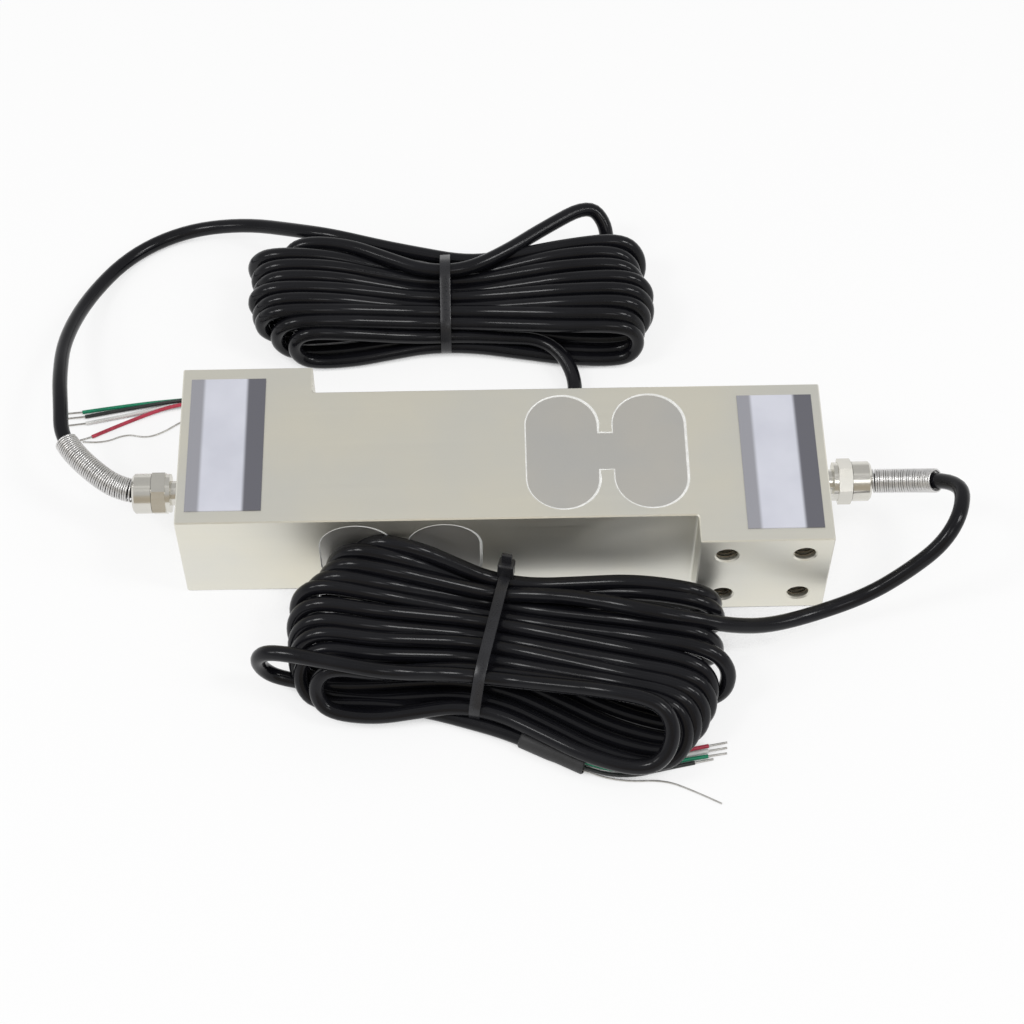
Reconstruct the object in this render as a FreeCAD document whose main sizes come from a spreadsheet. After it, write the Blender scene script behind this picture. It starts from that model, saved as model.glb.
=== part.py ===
import FreeCAD, Part
import math
import os
import Sketcher
from FreeCAD import Placement, Rotation, Vector

# Every size in millimetres, written once. The frame has its origin under the middle of the block,
# X along the block, Y to the back and Z up. The block rests on Z = 0.
SIZES = {
    # one-piece block with two bolting pads at opposite ends and sides
    "beam_length": 206.0,
    "beam_depth": 50.0,
    "beam_height": 40.0,
    "pad_length": 42.0,
    "pad_reach": 10.0,
    "step_fillet": 1.0,
    "edge_break": 0.4,
    # two dumbbell openings, the left one front to back and the right one top to bottom
    "opening_offset": 33.0,
    "lobe_width": 23.4,
    "lobe_gap": 4.5,
    "neck_width": 14.4,
    "thin_wall": 3.1,
    "ledge": 1.2,
    "recess_depth": 1.5,
    "cover_thickness": 1.3,
    "cover_clearance": 0.15,
    # tapped holes of the bolting faces
    "bolt_pitch": 24.5,
    "bolt_rise": 23.0,
    "bolt_bore": 6.8,
    "bolt_mouth": 7.8,
    "bolt_depth": 16.0,
    # cable glands, measured along the gland from the end face of the block
    "gland_thread": 8.0,
    "gland_bore_depth": 10.0,
    "spigot_depth": 9.0,
    "gland_neck": 4.3,
    "flange_width": 12.6,
    "flange_thickness": 1.5,
    "hex_flats": 13.0,
    "hex_length": 4.6,
    "hex_bevel": 0.6,
    "nut_width": 13.0,
    "nut_length": 6.1,
    "nut_thread": 10.0,
    "nut_lip": 0.7,
    "nut_bevel": 0.7,
    "gland_way": 5.6,
    "channel_width": 6.0,
    "seal_width": 7.6,
    "seal_length": 6.0,
    # bend springs
    "spring_width": 7.9,
    "spring_wire": 0.8,
    "spring_foot": 9.6,
    "spring_tail": 3.0,
    # cables
    "cable_width": 5.0,
    "core_width": 1.3,
    "core_circle": 1.27,
    "drain_width": 0.6,
    "drain_circle": 2.0,
    "tip_width": 0.7,
    "tip_length": 6.0,
    "sleeve_width": 6.4,
    "sleeve_length": 22.0,
    "sleeve_grip": 10.0,
    # cable ties
    "strap_width": 3.6,
    "strap_thickness": 1.2,
    "head_width": 5.2,
    "head_depth": 4.6,
    "head_height": 7.0,
    # strain gauges and terminal boards in the openings
    "gauge_thickness": 0.25,
    "gauge_width": 8.0,
    "gauge_sweep": 34.0,
    "board_length": 20.0,
    "board_clearance": 0.2,
    "board_thickness": 1.2,
    "core_stub": 1.0,
    # bare identification plates
    "plate_width": 24.0,
    "plate_length": 51.0,
    "plate_thickness": 0.3,
    "plate_margin": 3.0,
}

# Route points of the free cables, chosen along the photographed cables. The points beside a gland are
# measured from the middle of the block's end face, so they go with it, and the rest from the origin.
FRONT_BESIDE = [
    (3.0, 0.0, 0.0),
    (27.1, 0.0, 0.0),
    (43.4, -9.8, 14.0),
    (41.2, -23.6, 17.0),
    (35.0, -32.2, 12.0),
    (25.6, -35.4, 2.0),
    (13.1, -38.5, -8.0),
]
FRONT_BEYOND = [
    (98.0, -43.7, 9.0),
    (81.8, -51.6, 15.5),
    (62.7, -56.7, 26.0),
    (46.7, -49.6, 25.0),
]
REAR_BESIDE = [
    (-7.5, 0.0, 0.0),
    (-23.7, 0.0, 0.0),
    (-36.3, 9.4, 2.8),
    (-41.9, 24.4, 6.6),
    (-43.9, 42.0, 4.0),
    (-45.2, 66.9, -5.0),
]
REAR_BEYOND = [
    (-143.2, 92.1, 6.0),
    (-130.3, 113.5, 2.7),
    (-111.4, 124.6, 2.7),
    (-89.3, 122.9, 8.0),
    (-68.7, 111.8, 17.0),
    (-44.0, 98.5, 17.0),
]
FRONT_TAIL = [
    (-24.9, -64.1, 6.0),
    (-3.5, -71.8, 4.8),
    (-0.9, -82.5, 3.2),
    (13.0, -88.2, 3.2),
]
REAR_TAIL = [
    (0.0, 73.0, 2.6),
    (18.0, 70.0, 2.6),
    (27.0, 57.0, 2.6),
    (24.0, 37.5, 2.6),
    (0.0, 32.5, 2.6),
    (-30.0, 36.0, 2.7),
    (-58.0, 43.5, 3.2),
    (-82.0, 47.0, 3.2),
]

# Bare ends on the floor after the sleeve, and the place of each core in the sleeve: first the angle,
# then the route points. The angle is measured in the sleeve's section, from its back side upwards.
FRONT_CORES = {
    "red": (0.0, [(38.0, -91.0, 0.7), (54.0, -87.2, 0.7), (62.7, -85.6, 0.7)]),
    "white": (-90.0, [(38.0, -92.6, 0.7), (54.0, -88.8, 0.7), (62.5, -87.4, 0.7)]),
    "green": (90.0, [(38.0, -94.2, 0.7), (54.0, -90.4, 0.7), (62.3, -89.2, 0.7)]),
    "black": (180.0, [(37.5, -95.9, 0.7), (50.0, -92.9, 0.7), (58.0, -91.4, 0.7)]),
}
FRONT_DRAIN = (225.0, [(36.0, -97.4, 0.4), (48.0, -97.0, 0.4), (56.5, -100.6, 0.4), (65.5, -105.5, 0.4)])
REAR_CORES = {
    "green": (0.0, [(-109.3, 50.2, 0.7), (-126.0, 48.2, 0.7), (-142.5, 46.7, 0.7)]),
    "black": (-90.0, [(-109.0, 48.6, 0.7), (-126.0, 46.4, 0.7), (-141.4, 44.8, 0.7)]),
    "white": (90.0, [(-108.5, 47.0, 0.7), (-125.0, 44.1, 0.7), (-141.0, 42.0, 0.7)]),
    "red": (180.0, [(-108.0, 45.4, 0.7), (-124.0, 41.6, 0.7), (-138.5, 36.4, 0.7)]),
}
REAR_DRAIN = (225.0, [(-106.0, 43.0, 0.4), (-115.0, 38.0, 0.4), (-128.0, 35.4, 0.4), (-140.5, 33.4, 0.4)])

# Hanks: place, heading, and sections (along, front, back, bottom, top, corner) in the hank's own frame.
# The two middle sections are the waist under the tie.
FRONT_HANK = {
    "centre": (-4.6, -52.5),
    "heading": -13.4,
    "sections": [
        (-63.0, -20.0, 8.0, 6.0, 21.0, 6.0),
        (-46.0, -28.0, 13.0, 0.0, 25.0, 8.0),
        (-5.0, -23.0, 24.0, 1.2, 14.0, 5.0),
        (5.0, -23.0, 24.0, 1.2, 14.0, 5.0),
        (52.0, -29.0, 19.0, 0.0, 26.0, 8.0),
        (73.0, -24.0, 13.0, 6.0, 22.0, 6.0),
    ],
    "head": (21.0, 14.0),
}
REAR_HANK = {
    "centre": (-18.0, 84.0),
    "heading": 0.0,
    "sections": [
        (-66.0, -17.0, 14.0, 6.0, 21.0, 6.0),
        (-46.0, -22.0, 20.0, 0.0, 26.0, 8.0),
        (-5.0, -14.0, 15.0, 1.2, 16.0, 5.0),
        (5.0, -14.0, 15.0, 1.2, 16.0, 5.0),
        (46.0, -22.0, 22.0, 0.0, 26.0, 8.0),
        (67.0, -17.0, 14.0, 6.0, 21.0, 6.0),
    ],
    "head": (15.0, 5.0),
}

doc = FreeCAD.newDocument("ForceSensor")
sheet = doc.addObject("Spreadsheet::Sheet", "Sizes")
for row, (alias, number) in enumerate(SIZES.items(), start=1):
    sheet.set(f"A{row}", alias)
    sheet.set(f"B{row}", str(number))
    sheet.setAlias(f"B{row}", alias)
doc.recompute()


class Term:
    """A length as a number together with the sheet expression that drives it."""

    def __init__(self, value, text):
        self.value = value
        self.text = text

    def __add__(self, other):
        other = term(other)
        return Term(self.value + other.value, f"({self.text} + {other.text})")

    def __sub__(self, other):
        other = term(other)
        return Term(self.value - other.value, f"({self.text} - {other.text})")

    def __mul__(self, factor):
        factor = term(factor)
        return Term(self.value * factor.value, f"({self.text} * {factor.text})")

    def __truediv__(self, divisor):
        return Term(self.value / divisor, f"({self.text} / {divisor!r})")

    def __neg__(self):
        return Term(-self.value, f"(0 - {self.text})")

    def root(self):
        """The square root."""
        return Term(math.sqrt(self.value), f"sqrt({self.text})")


def term(number):
    """Gives a plain number the form of a Term."""
    return number if isinstance(number, Term) else Term(float(number), repr(float(number)))


def size(alias):
    """The named size of the sheet."""
    return Term(SIZES[alias], f"Sizes.{alias}")


def bind(item, prop, length):
    """Drives one property of an object from the sheet."""
    item.setExpression(prop, term(length).text)


# Sketches
def sketch_on(body, role, name, offset=0.0):
    """A sketch on one of the body's own planes, moved along the plane's normal."""
    plane = [item for item in body.Origin.OriginFeatures if item.Role == role][0]
    sketch = body.newObject("Sketcher::SketchObject", name)
    sketch.AttachmentSupport = [(plane, "")]
    sketch.MapMode = "FlatFace"
    sketch.AttachmentOffset = Placement(Vector(0, 0, term(offset).value), Rotation())
    bind(sketch, "AttachmentOffset.Base.z", offset)
    return sketch


def fix(sketch, geometry, point, x=None, y=None):
    """Holds one point of a sketch at coordinates driven from the sheet."""
    for kind, axis, length in (("DistanceX", -2, x), ("DistanceY", -1, y)):
        if length is None:
            continue
        length = term(length)
        if length.text == "0.0":
            sketch.addConstraint(Sketcher.Constraint("PointOnObject", geometry, point, axis))
            continue
        rule = Sketcher.Constraint(kind, -1, 1, geometry, point, length.value)
        index = sketch.addConstraint(rule)
        sketch.setExpression(f"Constraints[{index}]", length.text)


def outline(sketch, corners):
    """A closed outline. A corner is (x, y), or (x, y, centre x, centre y) where an arc starts."""
    first = sketch.GeometryCount
    count = len(corners)
    spots = [Vector(term(c[0]).value, term(c[1]).value, 0) for c in corners]
    for i, corner in enumerate(corners):
        start, end = spots[i], spots[(i + 1) % count]
        if len(corner) == 2:
            sketch.addGeometry(Part.LineSegment(start, end), False)
            continue
        centre = Vector(term(corner[2]).value, term(corner[3]).value, 0)
        out, back = start - centre, end - centre
        turn_on = math.atan2(out.y, out.x)
        turn_off = math.atan2(back.y, back.x)
        circle = Part.Circle(centre, Vector(0, 0, 1), out.Length)
        sketch.addGeometry(Part.ArcOfCircle(circle, turn_on, turn_off), False)
    for i, corner in enumerate(corners):
        following = first + (i + 1) % count
        sketch.addConstraint(Sketcher.Constraint("Coincident", first + i, 2, following, 1))
        fix(sketch, first + i, 1, corner[0], corner[1])
        if len(corner) == 4:
            chord = spots[(i + 1) % count] - spots[i]
            if abs(chord.y) < 1e-9:
                fix(sketch, first + i, 3, y=corner[3])
            else:
                fix(sketch, first + i, 3, x=corner[2])


def circle_at(sketch, x, y, diameter):
    """A circle held by its centre and its diameter."""
    diameter = term(diameter)
    centre = Vector(term(x).value, term(y).value, 0)
    index = sketch.addGeometry(Part.Circle(centre, Vector(0, 0, 1), diameter.value / 2), False)
    fix(sketch, index, 3, x, y)
    rule = sketch.addConstraint(Sketcher.Constraint("Diameter", index, diameter.value))
    sketch.setExpression(f"Constraints[{rule}]", diameter.text)


def rectangle(left, right, low, high):
    """Corners of a plain rectangle."""
    return [(left, low), (right, low), (right, high), (left, high)]


def rounded(left, right, low, high, corner):
    """Corners of a rectangle with round corners."""
    left, right, low, high = term(left), term(right), term(low), term(high)
    return [
        (left + corner, low),
        (right - corner, low, right - corner, low + corner),
        (right, low + corner),
        (right, high - corner, right - corner, high - corner),
        (right - corner, high),
        (left + corner, high, left + corner, high - corner),
        (left, high - corner),
        (left, low + corner, left + corner, low + corner),
    ]


def bevelled(left, right, low, high, corner):
    """Corners of a rectangle with each corner cut in two straight steps."""
    step = 0.293 * corner
    steps = [(corner, 0.0), (step, step), (0.0, corner)]
    return (
        [(right - a, low + b) for a, b in steps]
        + [(right - b, high - a) for a, b in steps]
        + [(left + a, high - b) for a, b in steps]
        + [(left + b, low + a) for a, b in steps]
    )


def dumbbell(across, along, half, inset):
    """Corners of a dumbbell: two full-round lobes joined by a neck, all set in by one amount."""
    across, along, half, inset = term(across), term(along), term(half), term(inset)
    radius = size("lobe_width") / 2 - inset
    near = size("lobe_gap") / 2 + inset
    far = size("lobe_gap") / 2 + size("lobe_width") - inset
    lobe = near + radius
    turn_at = half - size("lobe_width") / 2
    neck = size("neck_width") / 2 - inset
    if neck.value > turn_at.value:
        rise = neck - turn_at
        mouth = lobe - (radius * radius - rise * rise).root()
        return [
            (across - mouth, along - neck),
            (across + mouth, along - neck, across + lobe, along - turn_at),
            (across + far, along - turn_at),
            (across + far, along + turn_at, across + lobe, along + turn_at),
            (across + mouth, along + neck),
            (across - mouth, along + neck, across - lobe, along + turn_at),
            (across - far, along + turn_at),
            (across - far, along - turn_at, across - lobe, along - turn_at),
        ]
    return [
        (across - near, along - neck),
        (across + near, along - neck),
        (across + near, along - turn_at, across + lobe, along - turn_at),
        (across + far, along - turn_at),
        (across + far, along + turn_at, across + lobe, along + turn_at),
        (across + near, along + turn_at),
        (across + near, along + neck),
        (across - near, along + neck),
        (across - near, along + turn_at, across - lobe, along + turn_at),
        (across - far, along + turn_at),
        (across - far, along - turn_at, across - lobe, along - turn_at),
        (across - near, along - turn_at),
    ]


# Features
def new_body(name):
    """An empty body that becomes one node of the part."""
    return doc.addObject("PartDesign::Body", name)


def pad(body, name, sketch, length, reverse=False, middle=False):
    """Adds the sketched area as a slab."""
    feature = body.newObject("PartDesign::Pad", name)
    feature.Profile = sketch
    feature.SideType = "Symmetric" if middle else "One side"
    feature.Reversed = reverse
    bind(feature, "Length", length)
    return feature


def pocket(body, name, sketch, depth, reverse=False):
    """Cuts the sketched area to a depth, and makes sure that it cut something."""
    doc.recompute()
    before = body.Shape.Volume
    feature = body.newObject("PartDesign::Pocket", name)
    feature.Profile = sketch
    feature.Reversed = reverse
    feature.Length = term(depth).value
    bind(feature, "Length", depth)
    doc.recompute()
    if body.Shape.Volume > before - 0.5:
        raise RuntimeError(f"{name} cuts nothing")
    return feature


def turned(body, name, corners, role="XZ_Plane", angle=360.0):
    """Turns a sketched section about the sketch's horizontal axis."""
    sketch = sketch_on(body, role, name + "_section")
    outline(sketch, corners)
    feature = body.newObject("PartDesign::Revolution", name)
    feature.Profile = sketch
    feature.ReferenceAxis = (sketch, ["H_Axis"])
    feature.Midplane = angle < 360.0
    feature.Angle = angle
    return feature


def place(item, x, y, z, rotation=Rotation()):
    """Moves a finished body, its place driven from the sheet."""
    base = Vector(term(x).value, term(y).value, term(z).value)
    item.Placement = Placement(base, rotation)
    bind(item, "Placement.Base.x", x)
    bind(item, "Placement.Base.y", y)
    bind(item, "Placement.Base.z", z)


NODES = {}

# Sizes that follow from the named ones
half_length = size("beam_length") / 2
half_depth = size("beam_depth") / 2
half_height = size("beam_height") / 2
pad_start = half_length - size("pad_length")
pad_face = half_depth + size("pad_reach")
pad_middle = half_length - size("pad_length") / 2
half_across = half_depth - size("thin_wall")
half_up = half_height - size("thin_wall")
opening_left = -size("opening_offset")
opening_right = size("opening_offset")
opening_far = size("opening_offset") + size("lobe_gap") / 2 + size("lobe_width") - size("ledge")
lobe_offset = size("lobe_gap") / 2 + size("lobe_width") / 2
lobe_radius = size("lobe_width") / 2 - size("ledge")
core_reach = size("core_circle")


def make_block():
    """The one-piece block: plan outline, openings with cover recesses, tapped holes and cable ways."""
    body = new_body("sensor_block")
    plan = sketch_on(body, "XY_Plane", "block_plan")
    outline(plan, [
        (-half_length, -half_depth),
        (pad_start, -half_depth),
        (pad_start, -pad_face),
        (half_length, -pad_face),
        (half_length, half_depth),
        (-pad_start, half_depth),
        (-pad_start, pad_face),
        (-half_length, pad_face),
    ])
    slab = pad(body, "block_slab", plan, size("beam_height"))
    doc.recompute()

    steps = []
    for i, edge in enumerate(slab.Shape.Edges, start=1):
        spot = edge.CenterOfMass
        corner = abs(abs(spot.x) - pad_start.value) < 0.01 and abs(abs(spot.y) - half_depth.value) < 0.01
        if corner and abs(spot.z - half_height.value) < 0.01:
            steps.append(f"Edge{i}")
    fillet = body.newObject("PartDesign::Fillet", "block_step_fillet")
    fillet.Base = (slab, steps)
    bind(fillet, "Radius", size("step_fillet"))
    doc.recompute()

    sharp = []
    for i, edge in enumerate(fillet.Shape.Edges, start=1):
        spot = edge.CenterOfMass
        flat = abs(spot.z) < 0.01 or abs(spot.z - size("beam_height").value) < 0.01
        at_end = abs(abs(spot.x) - half_length.value) < 0.01
        at_pad = abs(abs(spot.x) - pad_start.value) < 0.01 and abs(abs(spot.y) - pad_face.value) < 0.01
        if flat or at_end or at_pad:
            sharp.append(f"Edge{i}")
    broken = body.newObject("PartDesign::Chamfer", "block_edge_break")
    broken.Base = (fillet, sharp)
    bind(broken, "Size", size("edge_break"))
    doc.recompute()

    right_cavity = sketch_on(body, "XY_Plane", "right_cavity_section", size("beam_height"))
    outline(right_cavity, dumbbell(opening_right, 0.0, half_across, size("ledge")))
    pocket(body, "right_cavity", right_cavity, size("beam_height"))
    top_recess = sketch_on(body, "XY_Plane", "top_recess_section", size("beam_height"))
    outline(top_recess, dumbbell(opening_right, 0.0, half_across, 0.0))
    pocket(body, "top_recess", top_recess, size("recess_depth"))
    bottom_recess = sketch_on(body, "XY_Plane", "bottom_recess_section")
    outline(bottom_recess, dumbbell(opening_right, 0.0, half_across, 0.0))
    pocket(body, "bottom_recess", bottom_recess, size("recess_depth"), reverse=True)

    left_cavity = sketch_on(body, "XZ_Plane", "left_cavity_section", half_depth)
    outline(left_cavity, dumbbell(opening_left, half_height, half_up, size("ledge")))
    pocket(body, "left_cavity", left_cavity, size("beam_depth"))
    front_recess = sketch_on(body, "XZ_Plane", "front_recess_section", half_depth)
    outline(front_recess, dumbbell(opening_left, half_height, half_up, 0.0))
    pocket(body, "front_recess", front_recess, size("recess_depth"))
    rear_recess = sketch_on(body, "XZ_Plane", "rear_recess_section", -half_depth)
    outline(rear_recess, dumbbell(opening_left, half_height, half_up, 0.0))
    pocket(body, "rear_recess", rear_recess, size("recess_depth"), reverse=True)

    for side, middle, face, reverse in (
        ("right", pad_middle, pad_face, False),
        ("left", -pad_middle, -pad_face, True),
    ):
        spots = sketch_on(body, "XZ_Plane", f"{side}_bolt_spots", face)
        for across in (-1, 1):
            for up in (-1, 1):
                x = middle + size("bolt_pitch") * (across / 2)
                z = half_height + size("bolt_rise") * (up / 2)
                circle_at(spots, x, z, size("bolt_bore"))
        doc.recompute()
        before = body.Shape.Volume
        hole = body.newObject("PartDesign::Hole", f"{side}_bolt_holes")
        hole.Profile = spots
        doc.recompute()
        hole.Threaded = False
        hole.DepthType = "Dimension"
        hole.DrillPoint = "Angled"
        hole.Reversed = reverse
        hole.HoleCutType = "Countersink"
        hole.HoleCutCustomValues = True
        hole.HoleCutCountersinkAngle = 90
        bind(hole, "Diameter", size("bolt_bore"))
        bind(hole, "Depth", size("bolt_depth"))
        bind(hole, "HoleCutDiameter", size("bolt_mouth"))
        doc.recompute()
        if body.Shape.Volume > before - 1000.0:
            raise RuntimeError(f"{side} bolt holes cut nothing")

    for side, face, reverse in (("right", half_length, False), ("left", -half_length, True)):
        bore = sketch_on(body, "YZ_Plane", f"{side}_gland_bore_section", face)
        circle_at(bore, 0.0, half_height, size("gland_thread"))
        pocket(body, f"{side}_gland_bore", bore, size("gland_bore_depth"), reverse)
        way = sketch_on(body, "YZ_Plane", f"{side}_cable_way_section", face)
        circle_at(way, 0.0, half_height, size("channel_width"))
        pocket(body, f"{side}_cable_way", way, half_length - opening_far + size("ledge"), reverse)
    NODES["sensor_block"] = body


def make_covers():
    """Four thin plates that close the openings, each lying on its ledge."""
    seat = size("recess_depth")
    gap = size("cover_clearance")
    for name, role, offset, reverse, centre, along, half in (
        ("top_cover_plate", "XY_Plane", size("beam_height") - seat, False, opening_right, 0.0, half_across),
        ("bottom_cover_plate", "XY_Plane", seat, True, opening_right, 0.0, half_across),
        ("front_cover_plate", "XZ_Plane", half_depth - seat, False, opening_left, half_height, half_up),
        ("rear_cover_plate", "XZ_Plane", -half_depth + seat, True, opening_left, half_height, half_up),
    ):
        body = new_body(name)
        sketch = sketch_on(body, role, f"{name}_outline", offset)
        outline(sketch, dumbbell(centre, along, half, gap))
        pad(body, f"{name}_slab", sketch, size("cover_thickness"), reverse)
        NODES[name] = body


def make_gauges():
    """Eight foil strain gauges on the thin walls, two at each end of each opening."""
    corners = rectangle(
        -size("gauge_width") / 2, size("gauge_width") / 2,
        lobe_radius - size("gauge_thickness"), lobe_radius,
    )
    up_turn = half_up - size("lobe_width") / 2
    back_turn = half_across - size("lobe_width") / 2
    upright = Rotation(Vector(1, 0, 0), -90)
    for lobe, side in ((-1, "outer"), (1, "inner")):
        for end, level in ((1, "upper"), (-1, "lower")):
            name = f"{level}_{side}_gauge"
            body = new_body(name)
            turned(body, f"{name}_foil", corners, "YZ_Plane", SIZES["gauge_sweep"])
            turn = Rotation(Vector(0, 1, 0), 0 if end > 0 else 180)
            place(body, opening_left + lobe_offset * lobe, 0.0, half_height + up_turn * end, turn)
            NODES[name] = body
    for lobe, side in ((-1, "inner"), (1, "outer")):
        for end, level in ((1, "back"), (-1, "front")):
            name = f"{level}_{side}_gauge"
            body = new_body(name)
            turned(body, f"{name}_foil", corners, "YZ_Plane", SIZES["gauge_sweep"])
            turn = Rotation(Vector(0, 0, 1), 0 if end > 0 else 180).multiply(upright)
            place(body, opening_right + lobe_offset * lobe, back_turn * end, half_height, turn)
            NODES[name] = body


def core_spots():
    """The four places of the cores in a cable's section, as (side, up)."""
    return [(core_reach, term(0)), (term(0), -core_reach), (term(0), core_reach), (-core_reach, term(0))]


def make_boards():
    """A terminal board at the cable end of each opening, and the four cores soldered to it."""
    half_long = size("board_length") / 2
    half_short = half_up - size("lobe_width") / 2 - size("board_clearance")
    for side, sign in (("left", -1), ("right", 1)):
        name = f"{side}_terminal_board"
        body = new_body(name)
        face = sketch_on(body, "YZ_Plane", f"{name}_outline")
        half_wide, half_tall = (half_long, half_short) if sign < 0 else (half_short, half_long)
        outline(face, rectangle(-half_wide, half_wide, -half_tall, half_tall))
        for across, up in core_spots():
            circle_at(face, across, up, size("core_width"))
        pad(body, f"{name}_slab", face, size("board_thickness"), reverse=sign > 0)
        place(body, opening_far * sign, 0.0, half_height)
        NODES[name] = body

        start = half_length + abs((REAR_BESIDE if sign < 0 else FRONT_BESIDE)[0][0])
        inner = opening_far - size("board_thickness") - size("core_stub")
        rods = []
        for i, (across, up) in enumerate(core_spots()):
            rod = doc.addObject("Part::Cylinder", f"{side}_inner_core_{i + 1}")
            bind(rod, "Radius", size("core_width") / 2)
            bind(rod, "Height", start - inner)
            place(rod, inner * sign, across, half_height + up, Rotation(Vector(0, 1, 0), 90 * sign))
            rods.append(rod)
        group = doc.addObject("Part::Compound", f"{side}_inner_cores")
        group.Links = rods
        NODES[f"{side}_inner_cores"] = group


def make_glands():
    """Gland body, nut and seal at each end of the block."""
    way = size("gland_way") / 2
    thread = size("gland_thread") / 2
    flange = size("gland_neck") + size("flange_thickness")
    hex_end = flange + size("hex_length")
    nut_end = hex_end + size("nut_length")
    body_end = nut_end - size("nut_lip") - size("spring_wire")
    seal_start = body_end - size("seal_length")
    break_off = size("hex_bevel")
    for side, sign, turn in (("left", -1, 30.0), ("right", 1, 0.0)):
        swing = Rotation(Vector(0, 0, 1), 0 if sign > 0 else 180)
        swing = swing.multiply(Rotation(Vector(1, 0, 0), turn))

        name = f"{side}_gland_body"
        body = new_body(name)
        turned(body, f"{name}_core", [
            (-size("spigot_depth"), way),
            (seal_start, way),
            (seal_start, size("seal_width") / 2),
            (body_end, size("seal_width") / 2),
            (body_end, size("nut_thread") / 2),
            (flange, size("nut_thread") / 2),
            (flange, size("flange_width") / 2),
            (size("gland_neck"), size("flange_width") / 2),
            (size("gland_neck"), thread),
            (-size("spigot_depth") + break_off, thread),
            (-size("spigot_depth"), thread - break_off),
        ])
        key = sketch_on(body, "YZ_Plane", f"{name}_hexagon", flange)
        flat = size("hex_flats") / 2
        tip = size("hex_flats") / math.sqrt(3.0)
        outline(key, [
            (flat, -tip / 2), (flat, tip / 2), (0.0, tip), (-flat, tip / 2), (-flat, -tip / 2), (0.0, -tip),
        ])
        circle_at(key, 0.0, 0.0, size("nut_thread") - size("hex_bevel"))
        pad(body, f"{name}_key", key, size("hex_length"))
        groove_section = sketch_on(body, "XZ_Plane", f"{name}_bevel_section")
        outline(groove_section, [
            (hex_end - break_off, tip + break_off),
            (hex_end, flat - break_off / 2),
            (hex_end + break_off, flat - break_off / 2),
            (hex_end + break_off, tip + break_off),
        ])
        groove = body.newObject("PartDesign::Groove", f"{name}_bevel")
        groove.Profile = groove_section
        groove.ReferenceAxis = (groove_section, ["H_Axis"])
        groove.Angle = 360
        place(body, half_length * sign, 0.0, half_height, swing)
        NODES[name] = body

        name = f"{side}_gland_nut"
        nut = new_body(name)
        turned(nut, f"{name}_ring", [
            (hex_end, size("nut_thread") / 2),
            (nut_end - size("nut_lip"), size("nut_thread") / 2),
            (nut_end - size("nut_lip"), size("spring_width") / 2 + size("cover_clearance")),
            (nut_end, size("spring_width") / 2 + size("cover_clearance")),
            (nut_end, size("nut_width") / 2 - size("nut_bevel")),
            (nut_end - size("nut_bevel"), size("nut_width") / 2),
            (hex_end, size("nut_width") / 2),
        ])
        place(nut, half_length * sign, 0.0, half_height, swing)
        NODES[name] = nut

        name = f"{side}_gland_seal"
        seal = new_body(name)
        turned(seal, f"{name}_ring", rectangle(
            seal_start, body_end, size("cable_width") / 2, size("seal_width") / 2,
        ))
        place(seal, half_length * sign, 0.0, half_height, swing)
        NODES[name] = seal
    return half_length.value + body_end.value


def make_plates():
    """Thin bare plates where the identification plates are stuck."""
    plate_middle = half_length - size("plate_margin") - size("plate_width") / 2
    for side, sign in (("left", -1), ("right", 1)):
        plate = doc.addObject("Part::Box", f"{side}_plate")
        bind(plate, "Length", size("plate_width"))
        bind(plate, "Width", size("plate_length"))
        bind(plate, "Height", size("plate_thickness"))
        x = plate_middle * sign - size("plate_width") / 2
        y = size("pad_reach") / 2 * -sign - size("plate_length") / 2
        place(plate, x, y, size("beam_height"))
        NODES[f"{side}_plate"] = plate


# Cords
def lead_points(sign, beside, beyond):
    """Route points of a lead from a gland, those beside the gland moved to the block's end face."""
    face = Vector(half_length.value * sign, 0, half_height.value)
    return [tuple(face + Vector(*p)) for p in beside] + beyond


def route(points, name):
    """Edges of a route: straight runs with a tangent arc at each point, and its smallest radius."""
    spots = [Vector(*p) for p in points]
    edges = []
    smallest = 1e9
    last = spots[0]
    for before, here, after in zip(spots, spots[1:], spots[2:]):
        into, out = here - before, after - here
        reach = 0.45 * min(into.Length, out.Length)
        into.normalize()
        out.normalize()
        half_turn = into.getAngle(out) / 2
        radius = reach / math.tan(half_turn)
        smallest = min(smallest, radius)
        start, end = here - into * reach, here + out * reach
        bisector = out - into
        bisector.normalize()
        middle = here + bisector * (radius / math.cos(half_turn) - radius)
        edges.append(Part.LineSegment(last, start).toShape())
        edges.append(Part.Arc(start, middle, end).toShape())
        last = end
    edges.append(Part.LineSegment(last, spots[-1]).toShape())
    print(f"{name}: smallest radius {smallest:.1f} mm")
    return edges


def tube(edges, diameter):
    """A round solid along a chain of tangent edges, checked against its section times its length."""
    wire = Part.Wire(edges)
    start = wire.OrderedEdges[0]
    origin = start.valueAt(start.FirstParameter)
    along = start.tangentAt(start.FirstParameter)
    ring = Part.Wire(Part.makeCircle(diameter / 2, origin, along))
    solid = wire.makePipeShell([ring], True, False)
    expected = math.pi * diameter * diameter / 4 * wire.Length
    if abs(solid.Volume - expected) > 0.01 * expected:
        raise RuntimeError(f"tube volume {solid.Volume:.1f} is not {expected:.1f}")
    return solid


def solid_node(name, shape):
    """A node whose shape is worked out here, for what no feature makes."""
    node = doc.addObject("Part::Feature", name)
    node.Shape = shape
    NODES[name] = node
    return node


def biggest(shape):
    """The largest solid that a cut left."""
    return max(shape.Solids, key=lambda solid: solid.Volume)


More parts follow.
